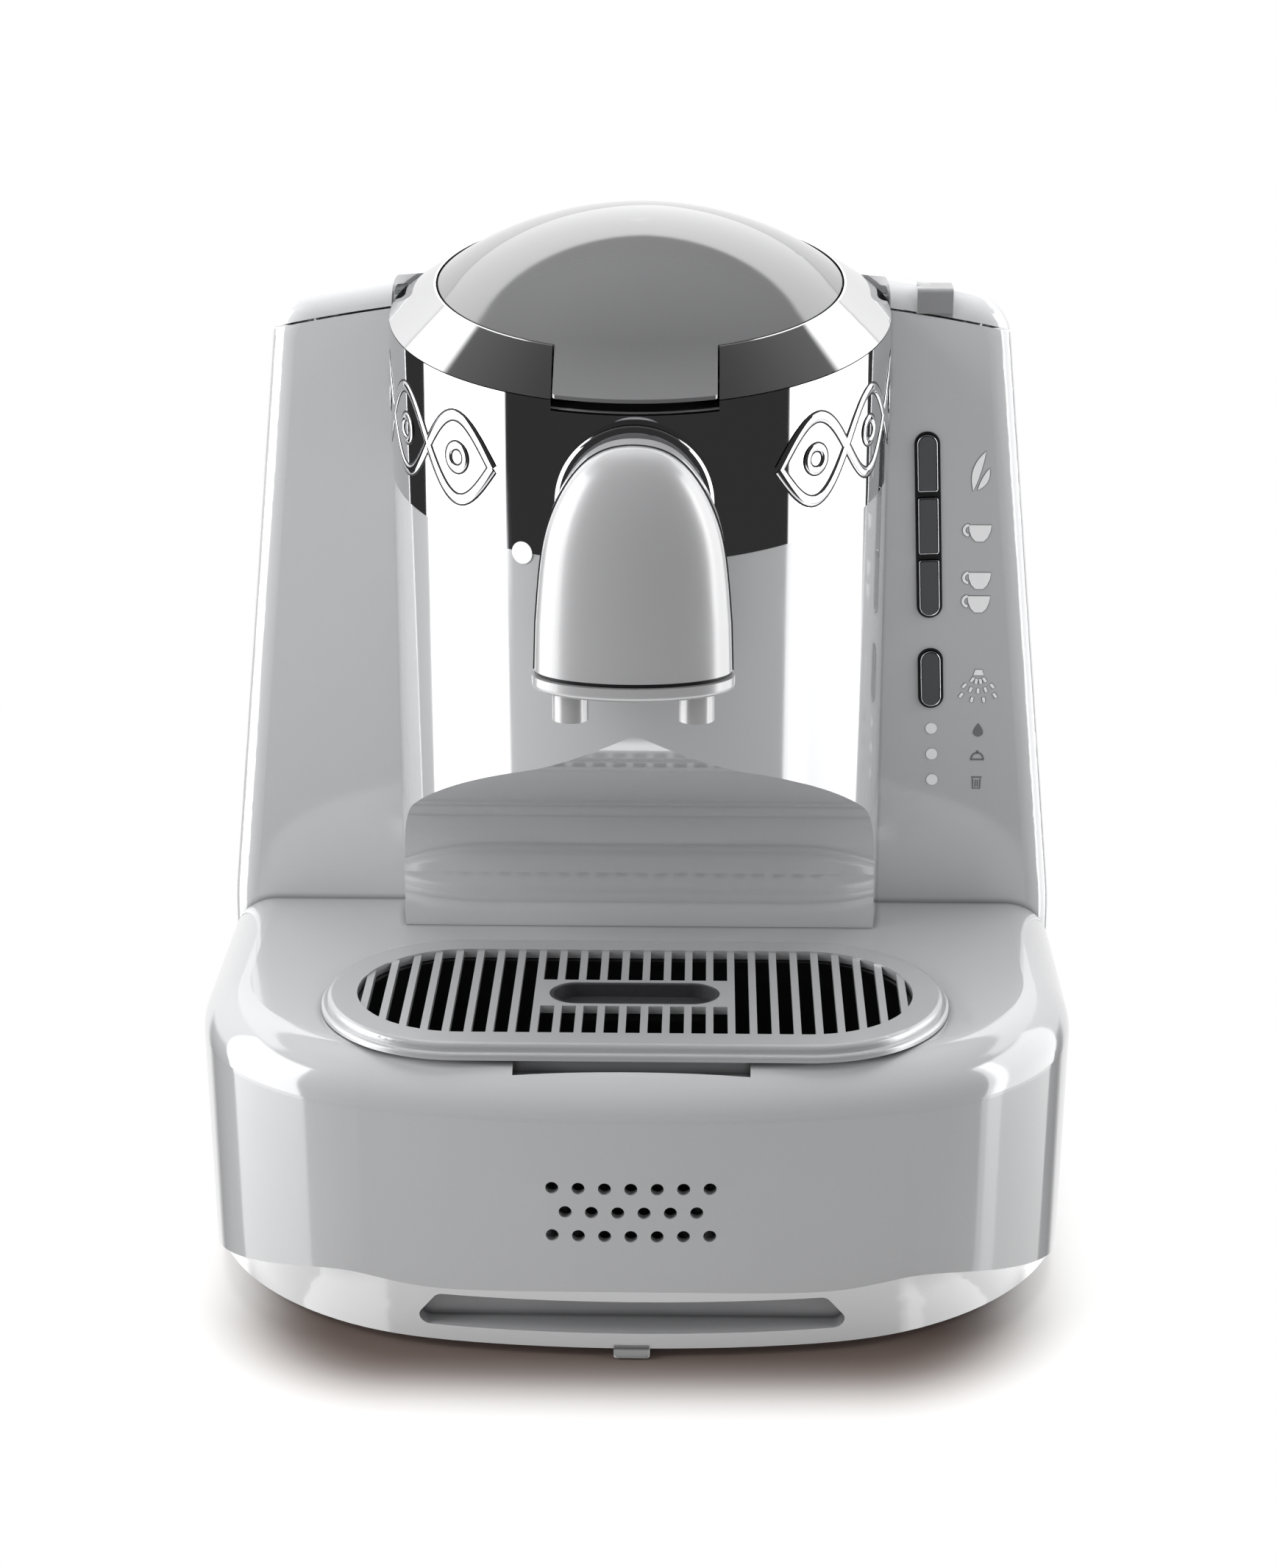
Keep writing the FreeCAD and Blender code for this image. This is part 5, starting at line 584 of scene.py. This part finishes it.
# %% Bright plating and satin steel
def metal(name, colour, roughness, smear=0.02, brushed=0.0, wave_mm=0.0015):
    """A bare or plated metal. Brushing adds fine scratches along X."""
    material = bpy.data.materials.new(name)
    material.use_nodes = True
    tree = material.node_tree
    shader = tree.nodes["Principled BSDF"]
    shader.inputs["Metallic"].default_value = 1.0
    shader.inputs["Base Color"].default_value = (*colour, 1.0)
    touch = tree.nodes.new("ShaderNodeGroup")
    touch.node_tree = wiped
    touch.inputs["Clean roughness"].default_value = roughness
    touch.inputs["Smear"].default_value = smear
    tree.links.new(touch.outputs["Roughness"], shader.inputs["Roughness"])
    bump = tree.nodes.new("ShaderNodeBump")
    if brushed > 0:
        lines = tree.nodes.new("ShaderNodeGroup")
        lines.node_tree = grain
        bump.inputs["Distance"].default_value = brushed / 1000.0
        tree.links.new(lines.outputs["Mask"], bump.inputs["Height"])
    else:
        skin = tree.nodes.new("ShaderNodeGroup")
        skin.node_tree = peel
        skin.inputs["Wave mm"].default_value = 14.0
        skin.inputs["Grain share"].default_value = 0.0
        bump.inputs["Distance"].default_value = wave_mm / 1000.0
        tree.links.new(skin.outputs["Height"], bump.inputs["Height"])
    tree.links.new(bump.outputs["Normal"], shader.inputs["Normal"])
    return material


bright_chrome = metal("bright_chrome", (0.78, 0.78, 0.8), 0.03)
bezel_mirror = metal("bezel_mirror", (0.84, 0.84, 0.85), 0.04)
satin_steel = metal("satin_steel", (0.6, 0.6, 0.61), 0.28, smear=0.06, brushed=0.01)
grille_satin = plastic("grille_satin", (0.56, 0.563, 0.57), 0.28, coat=0.2, metallic=0.6, wave_mm=0.001)
cast_heater = metal("cast_heater", (0.5, 0.5, 0.51), 0.5, smear=0.1)
# A near-black metal that paints a thin line of shade along the foot of the frieze.
frieze_shadow_line = metal("frieze_shadow_line", (0.03, 0.03, 0.031), 0.35)

dress(bright_chrome, "chrome_band", "spout_trim", "spout_collar", "spout_neck", "button_warm",
      "button_one_cup", "button_two_cups", "button_clean")
dress(bezel_mirror, "bezel_ring")
dress(satin_steel, "brew_pot", "lid_hinge_pin", "tank_lid_pins", "bottom_screws", "service_screws",
      "pour_tube")
dress(grille_satin, "cup_grille")
dress(cast_heater, "pot_heater")
# The button frames are dark as painted shade: they stand in for the shadow gap round each button.
dress(black_satin, "button_frame_upper", "button_frame_lower")
print("metals done")

# %% [markdown]
# ## Clear parts
# The tank at the back is clear, so that its water level shows. The lamp lenses and the little round
# window of the foam sensor are clear too, with a milky body that catches the light.

# %% Clear tank and lenses
def clear(name, colour, roughness, see_through):
    """A clear plastic: mostly transmission, with a plain glossy face."""
    material = bpy.data.materials.new(name)
    material.use_nodes = True
    shader = material.node_tree.nodes["Principled BSDF"]
    shader.inputs["Base Color"].default_value = (*colour, 1.0)
    shader.inputs["Roughness"].default_value = roughness
    shader.inputs["Transmission Weight"].default_value = see_through
    shader.inputs["IOR"].default_value = 1.49
    return material


tank_clear = clear("tank_clear", (0.86, 0.9, 0.92), 0.06, 0.9)
lens_milky = clear("lens_milky", (0.9, 0.9, 0.9), 0.25, 0.1)
dress(tank_clear, "water_tank")
dress(lens_milky, "lamp_lenses", "sensor_window")
print("clear parts:", tank_clear.name, lens_milky.name)

# %% [markdown]
# ## Button faces
# Each button is a plated cap with a dark matt inlay, so that only a thin bright rim shows. The inlay is
# a thin plate with the cap's own rounding, drawn as an outline and given a little height.

# %% Helpers for thin plates on the front panel
# Where the front panel's face is along Y, and how far the row of buttons leans from upright.
PANEL = 0.0035
LEAN = math.radians(2.4)


def raised_plate(name, loops, front, back, material, body):
    """Extrudes outlines in X and Z, in metres, and lets the plate ride on a body."""
    shape = bmesh.new()
    for loop in loops:
        far = [shape.verts.new((x, back, z)) for x, z in loop]
        near = [shape.verts.new((x, front, z)) for x, z in loop]
        count = len(loop)
        shape.faces.new(near)
        shape.faces.new(list(reversed(far)))
        for index in range(count):
            after = (index + 1) % count
            shape.faces.new((near[index], far[index], far[after], near[after]))
    bmesh.ops.recalc_face_normals(shape, faces=shape.faces)
    mesh = bpy.data.meshes.new(name)
    shape.to_mesh(mesh)
    shape.free()
    mesh.materials.append(material)
    plate = bpy.data.objects.new(name, mesh)
    bpy.context.collection.objects.link(plate)
    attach(plate, body)
    return plate


def rounded(width, length, top, bottom):
    """Outline of an upright bar with round upper and lower corners, about the origin."""
    loop = []
    for sign_x, sign_z, start in ((1, 1, 0), (-1, 1, 90), (-1, -1, 180), (1, -1, 270)):
        corner = top if sign_z > 0 else bottom
        centre = (sign_x * (width / 2 - corner), sign_z * (length / 2 - corner))
        for step in range(9):
            angle = math.radians(start + step * 90 / 8)
            loop.append((centre[0] + corner * math.cos(angle), centre[1] + corner * math.sin(angle)))
    return loop


def leaning(loop, x, z, lean=LEAN):
    """Leans an outline like the button row and moves it to its place."""
    return [(x + a * math.cos(lean) - b * math.sin(lean), z + a * math.sin(lean) + b * math.cos(lean))
            for a, b in loop]


def row_x(level):
    """Where the leaning button row is at a height, in metres."""
    middle_x, middle_level = 0.0812, 0.1998
    return middle_x + (middle_level - level) * math.tan(LEAN)


print("plate helpers ready")

# %% The inlays
inlay_out, inlay_in = PANEL - 0.00123, PANEL - 0.0009
inlay_grey = plastic("inlay_grey", (0.075, 0.077, 0.08), 0.42, grain_share=1.2, wave_mm=0.012)
inlays = []
for key, level, top, bottom in (("warm", 0.2179, 2.25, 0.5), ("one_cup", 0.1998, 0.5, 0.5),
                                ("two_cups", 0.1817, 0.5, 2.25), ("clean", 0.1548, 2.25, 2.25)):
    outline = rounded(0.0047, 0.0154, top / 1000, bottom / 1000)
    inlay = raised_plate(f"inlay_{key}", [leaning(outline, row_x(level), level)],
                         inlay_out, inlay_in, inlay_grey, f"key_{key}")
    inlays.append(inlay.name)
print("inlays:", inlays)

# %% [markdown]
# ## Signs beside the buttons
# Small signs tell what each button and lamp means. They are printed fields, a tenth of a millimetre
# thick, and the white ones have a dark edge of painted shade. Every sign is made of simple outlines in
# millimetres about its own middle: leaves between two arcs, bars along a path, and polygons. A copy of each
# white outline, grown by a little, lies under it in a dark finish and paints the shade along its edge.

# %% Outline helpers for the signs
def leaf(start, tip, left, right, steps=10):
    """Outline between two bent paths from a start to a tip, each with its own bulge."""
    loop = []
    for bulge, order in ((left, range(steps + 1)), (right, range(steps - 1, 0, -1))):
        middle = ((start[0] + tip[0]) / 2 + bulge[0], (start[1] + tip[1]) / 2 + bulge[1])
        for step in order:
            t = step / steps
            loop.append(tuple((1 - t) ** 2 * start[axis] + 2 * t * (1 - t) * middle[axis] + t * t * tip[axis]
                              for axis in (0, 1)))
    return loop


def bar(points, width):
    """Outline of a bar of even width along a path."""
    sides = []
    for index, (x, z) in enumerate(points):
        before, after = points[max(index - 1, 0)], points[min(index + 1, len(points) - 1)]
        run_x, run_z = after[0] - before[0], after[1] - before[1]
        length = math.hypot(run_x, run_z)
        sides.append((-run_z / length * width / 2, run_x / length * width / 2))
    left = [(x + a, z + b) for (x, z), (a, b) in zip(points, sides)]
    right = [(x - a, z - b) for (x, z), (a, b) in zip(points, sides)]
    return left + right[::-1]


def bent(centre_x, centre_z, radius, start, end, steps=10):
    """Points along an arc, angles in degrees."""
    return [(centre_x + radius * math.cos(math.radians(start + (end - start) * n / steps)),
             centre_z + radius * math.sin(math.radians(start + (end - start) * n / steps)))
            for n in range(steps + 1)]


def grown(loop, by):
    """Moves every corner of an outline outward."""
    area = sum(a[0] * b[1] - b[0] * a[1] for a, b in zip(loop, loop[1:] + loop[:1]))
    side = by if area > 0 else -by
    result = []
    for index, (x, z) in enumerate(loop):
        before, after = loop[index - 1], loop[(index + 1) % len(loop)]
        run_x, run_z = after[0] - before[0], after[1] - before[1]
        length = math.hypot(run_x, run_z) or 1.0
        result.append((x + run_z / length * side, z - run_x / length * side))
    return result


def cup_sign(drop):
    """A small cup seen from the side, with its handle on the left."""
    bowl = [(-2.5, 2.4), (3.9, 2.4), (3.7, 0.6), (2.9, -1.3), (1.8, -2.4), (-0.4, -2.4), (-1.5, -1.3),
            (-2.3, 0.6)]
    handle = bar(bent(-2.3, 0.9, 1.5, 95, 265), 0.8)
    return [[(x, z + drop) for x, z in loop] for loop in (bowl, handle)]


print("outline helpers ready")

# %% The signs
flame = [leaf((-1.4, -5.6), (1.9, 5.8), (-3.6, 1.0), (0.6, -1.0)),
         leaf((-0.2, -5.4), (3.0, 0.9), (2.4, -1.4), (-0.6, 0.6))]
shower = [[(-1.5, 2.9), (-1.0, 4.6), (1.0, 4.6), (1.5, 2.9)]]
head, drop_length, drop_width = 4.2, 1.5, 0.8
for reach, count, fan in ((2.4, 4, 67.2), (5.2, 5, 84.0), (8.0, 4, 67.2)):
    for index in range(count):
        angle = math.radians(-90 + (index / (count - 1) - 0.5) * fan)
        shower.append(bar([(math.cos(angle) * far, head + math.sin(angle) * far)
                           for far in (reach, reach + drop_length)], drop_width))
drop = [leaf((0.0, 2.1), (0.0, -2.0), (-2.9, -1.4), (2.9, -1.4))]
cover = [bar(bent(0, -0.4, 1.7, 180, 0), 0.5), bar([(-2.0, -0.7), (2.0, -0.7)], 0.5),
         bar([(0, 1.4), (0, 2.0)], 0.7)]
bin_sign = [bar([(-1.1, 1.0), (-1.0, -1.9), (1.0, -1.9), (1.1, 1.0)], 0.4),
            bar([(-1.5, 1.5), (1.5, 1.5)], 0.4)]
bin_sign += [bar([(x, 0.7), (x, -1.4)], 0.3) for x in (-0.3, 0.35)]

print("outlines of the shower:", len(shower))

# %% Printing the signs on the panel
edge_growth = 0.00018
back = PANEL + 0.0001
edge_face, white_face, grey_face = PANEL - 0.00005, PANEL - 0.00012, PANEL - 0.00008
sign_white = plastic("sign_white", (0.86, 0.86, 0.86), 0.35, wave_mm=0.002)
# A dark finish under each white sign paints a thin line of shade round its edge.
sign_shade_edge = plastic("sign_shade_edge", (0.12, 0.12, 0.125), 0.4, wave_mm=0.002)
sign_grey = plastic("sign_grey", (0.17, 0.17, 0.175), 0.4, wave_mm=0.002)
signs = (("flame", flame, 94.9, 215.5), ("cup", cup_sign(0), 95.1, 197.6),
         ("two_cups", cup_sign(3.4) + cup_sign(-3.5), 95.4, 180.3), ("shower", shower, 96.8, 152.8))
for name, loops, x, z in signs:
    metres = [[((x + a) / 1000, (z + b) / 1000) for a, b in loop] for loop in loops]
    under = [grown(loop, edge_growth) for loop in metres]
    raised_plate(f"sign_shade_edge_{name}", under, edge_face, back, sign_shade_edge, "machine")
    raised_plate(f"sign_{name}", metres, white_face, back, sign_white, "machine")
lamp_signs_x = 97.2
for name, loops, z in (("drop", drop, 139.2), ("cover", cover, 131.0), ("bin", bin_sign, 123.4)):
    metres = [[((lamp_signs_x + a) / 1000, (z + b) / 1000) for a, b in loop] for loop in loops]
    raised_plate(f"sign_{name}", metres, grey_face, back, sign_grey, "machine")
print("signs:", len(signs) + 3)

# %% [markdown]
# ## The frieze on the band
# A raised chain runs round the bright band: two waves that swing against each other and close into
# lenses, with a small ring in each. It is plated with the band, so it is only seen by the light that
# bends over its round back and by a thin dark line along its foot, which is painted shade. It could be drawn
# lens by lens, but a rule is safer: the same few numbers place every lens on the tilted band. Geometry
# nodes follow that rule. Each wave starts as a straight line, its points are wrapped round the column,
# and a flat oval runs along it, sunk so that only its back stands out. The front stays plain, because
# the spout sits there.

# %% The frieze's numbers
LENSES = 14
POINTS_PER_LENS = 20
# How much wider the dark lines of painted shade are than the waves and the rings.
WAVE_SHADOW_LINE, RING_SHADOW_LINE = 0.00042, 0.00012
chain = bpy.data.node_groups.new("band_chain", "GeometryNodeTree")
for label, kind, value in (("Lenses", "NodeSocketInt", LENSES), ("Swing", "NodeSocketFloat", 0.0112),
                           ("Half width", "NodeSocketFloat", 0.00135), ("Proud", "NodeSocketFloat", 0.0004),
                           ("Face", "NodeSocketFloat", 0.0687),
                           ("Plain front", "NodeSocketFloat", math.radians(33)),
                           ("Ring", "NodeSocketFloat", 0.0032), ("Middle", "NodeSocketFloat", 0.2405),
                           ("Column place", "NodeSocketFloat", -0.0045),
                           ("Rim slope", "NodeSocketFloat", math.tan(math.radians(9)))):
    socket = chain.interface.new_socket(label, in_out="INPUT", socket_type=kind)
    socket.default_value = value
chain.interface.new_socket("Finish", in_out="INPUT", socket_type="NodeSocketMaterial")
chain.interface.new_socket("Shadow line finish", in_out="INPUT", socket_type="NodeSocketMaterial")
chain.interface.new_socket("Geometry", in_out="OUTPUT", socket_type="NodeSocketGeometry")
given = chain.nodes.new("NodeGroupInput").outputs
handed = chain.nodes.new("NodeGroupOutput")
print("inputs:", [item.name for item in chain.interface.items_tree][:10])

# %% Wrapping a share of the way round the band into a place
def chain_node(kind, **links):
    """Adds a node to the chain and links its inputs."""
    node = chain.nodes.new(kind)
    for label, value in links.items():
        socket = node.inputs[label.replace("_", " ")]
        if hasattr(value, "is_linked"):
            chain.links.new(value, socket)
        else:
            socket.default_value = value
    return node


def turn_of(share):
    """Compass angle for a share of the way round, past the plain front."""
    full = maths(chain, "SUBTRACT", 2 * math.pi, maths(chain, "MULTIPLY", given["Plain front"], 2.0))
    return maths(chain, "ADD", given["Plain front"], maths(chain, "MULTIPLY", share, full))


def on_band(turn, swing, radius):
    """Place on the tilted band at an angle, swung up or down from its middle line."""
    x = maths(chain, "MULTIPLY", maths(chain, "SINE", turn), radius)
    forward = maths(chain, "MULTIPLY", maths(chain, "COSINE", turn), radius)
    y = maths(chain, "SUBTRACT", given["Column place"], forward)
    fall = maths(chain, "MULTIPLY", forward, given["Rim slope"])
    z = maths(chain, "ADD", maths(chain, "SUBTRACT", given["Middle"], fall), swing)
    place = chain.nodes.new("ShaderNodeCombineXYZ")
    for value, socket in zip((x, y, z), place.inputs):
        chain.links.new(value, socket)
    return place.outputs["Vector"]


print("wrapping rule ready")

# %% The waves' swing and the ribbon that follows them
share_node = chain.nodes.new("GeometryNodeSplineParameter")
turn = turn_of(share_node.outputs["Factor"])
lens_count = maths(chain, "MULTIPLY", share_node.outputs["Factor"], given["Lenses"])
phase = maths(chain, "MULTIPLY", lens_count, math.pi)
swing = maths(chain, "MULTIPLY", maths(chain, "SINE", phase), given["Swing"])


def radial_normal(angle):
    """Direction straight out of the band at an angle."""
    out_way = chain.nodes.new("ShaderNodeCombineXYZ")
    chain.links.new(maths(chain, "SINE", angle), out_way.inputs["X"])
    chain.links.new(maths(chain, "MULTIPLY", maths(chain, "COSINE", angle), -1.0), out_way.inputs["Y"])
    return out_way.outputs["Vector"]


def ribbon(curve, extra_width, height, closed):
    """Sweeps a flat oval along a curve whose normals point out of the band."""
    circle = chain_node("GeometryNodeCurvePrimitiveCircle", Radius=1.0, Resolution=14)
    size = chain.nodes.new("ShaderNodeCombineXYZ")
    chain.links.new(height, size.inputs["X"])
    chain.links.new(maths(chain, "ADD", given["Half width"], extra_width), size.inputs["Y"])
    size.inputs["Z"].default_value = 1.0
    oval = chain_node("GeometryNodeTransform", Geometry=circle.outputs["Curve"],
                      Scale=size.outputs["Vector"])
    swept = chain_node("GeometryNodeCurveToMesh", Curve=curve, Profile_Curve=oval.outputs["Geometry"],
                       Fill_Caps=not closed)
    return swept.outputs["Mesh"]


def finished(mesh, finish):
    """Smooths a mesh and gives it its finish."""
    smooth = chain_node("GeometryNodeSetShadeSmooth", Geometry=mesh)
    return chain_node("GeometryNodeSetMaterial", Geometry=smooth.outputs["Geometry"],
                      Material=given[finish]).outputs["Geometry"]


print("ribbon rule ready")

# %% [markdown]
# Two waves swing against each other, so they cross between the lenses. Under each lies a flatter and
# wider copy in a dark finish, which paints a thin line of shade along its foot.

# %% The two waves
parts = []
low = maths(chain, "MULTIPLY", given["Proud"], 0.35)
for side in (1.0, -1.0):
    start = chain_node("GeometryNodeCurvePrimitiveLine")
    dense = chain_node("GeometryNodeResampleCurve", Curve=start.outputs["Curve"],
                       Count=LENSES * POINTS_PER_LENS + 1)
    place = on_band(turn, maths(chain, "MULTIPLY", swing, side), given["Face"])
    wrapped = chain_node("GeometryNodeSetPosition", Geometry=dense.outputs["Curve"], Position=place)
    aimed = chain_node("GeometryNodeSetCurveNormal", Curve=wrapped.outputs["Geometry"])
    aimed.mode = "FREE"
    chain.links.new(radial_normal(turn), aimed.inputs["Normal"])
    parts.append(finished(ribbon(aimed.outputs["Curve"], 0.0, given["Proud"], False), "Finish"))
    # The wider, dark copy paints a line of shade along the wave's foot.
    parts.append(finished(ribbon(aimed.outputs["Curve"], WAVE_SHADOW_LINE, low, False), "Shadow line finish"))

print("waves and their lines:", len(parts))

# %% [markdown]
# A ring sits in the middle of each lens. One ring is drawn about the origin and set on a point per
# lens, turned to face straight out of the band.

# %% The rings
middles = chain_node("GeometryNodeMeshLine", Count=given["Lenses"])
order = chain.nodes.new("GeometryNodeInputIndex")
share = maths(chain, "DIVIDE", maths(chain, "ADD", order.outputs["Index"], 0.5), given["Lenses"])
ring_turn = turn_of(share)
spread = chain_node("GeometryNodeSetPosition", Geometry=middles.outputs["Mesh"],
                    Position=on_band(ring_turn, 0.0, given["Face"]))
facing = chain.nodes.new("ShaderNodeCombineXYZ")
facing.inputs["X"].default_value = math.pi / 2
chain.links.new(ring_turn, facing.inputs["Z"])
outward = chain_node("FunctionNodeEulerToRotation", Euler=facing.outputs["Vector"])
ring_line = chain_node("GeometryNodeCurvePrimitiveCircle", Radius=given["Ring"], Resolution=28)
ring_up = chain_node("GeometryNodeSetCurveNormal", Curve=ring_line.outputs["Curve"])
ring_up.mode = "FREE"
ring_up.inputs["Normal"].default_value = (0.0, 0.0, 1.0)
# The second, wider and dark ring paints a line of shade along the ring's foot.
for extra, height, look in ((-0.0003, given["Proud"], "Finish"), (RING_SHADOW_LINE, low, "Shadow line finish")):
    ring_mesh = finished(ribbon(ring_up.outputs["Curve"], extra, height, True), look)
    rings = chain_node("GeometryNodeInstanceOnPoints", Points=spread.outputs["Geometry"],
                       Instance=ring_mesh, Rotation=outward.outputs["Rotation"])
    parts.append(rings.outputs["Instances"])
print("parts of the chain:", len(parts))

# %% Join, realise and keep the result
gather = chain.nodes.new("GeometryNodeJoinGeometry")
for part in parts:
    chain.links.new(part, gather.inputs["Geometry"])
real = chain_node("GeometryNodeRealizeInstances", Geometry=gather.outputs["Geometry"])
chain.links.new(real.outputs["Geometry"], handed.inputs["Geometry"])

maker = bpy.data.objects.new("frieze_maker", bpy.data.meshes.new("frieze_maker"))
bpy.context.collection.objects.link(maker)
modifier = maker.modifiers.new("chain", "NODES")
modifier.node_group = chain
sockets = {item.name: item.identifier for item in chain.interface.items_tree if item.in_out == "INPUT"}
modifier[sockets["Finish"]] = bright_chrome
modifier[sockets["Shadow line finish"]] = frieze_shadow_line
maker.update_tag()
made = maker.evaluated_get(bpy.context.evaluated_depsgraph_get())
frieze_mesh = bpy.data.meshes.new_from_object(made)
frieze_mesh.name = "band_frieze"
frieze = bpy.data.objects.new("band_frieze", frieze_mesh)
bpy.context.collection.objects.link(frieze)
bpy.data.objects.remove(maker)
clean = bmesh.new()
clean.from_mesh(frieze_mesh)
bmesh.ops.recalc_face_normals(clean, faces=clean.faces)
clean.to_mesh(frieze_mesh)
clean.free()
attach(frieze, "machine")
print("frieze faces:", len(frieze_mesh.polygons))
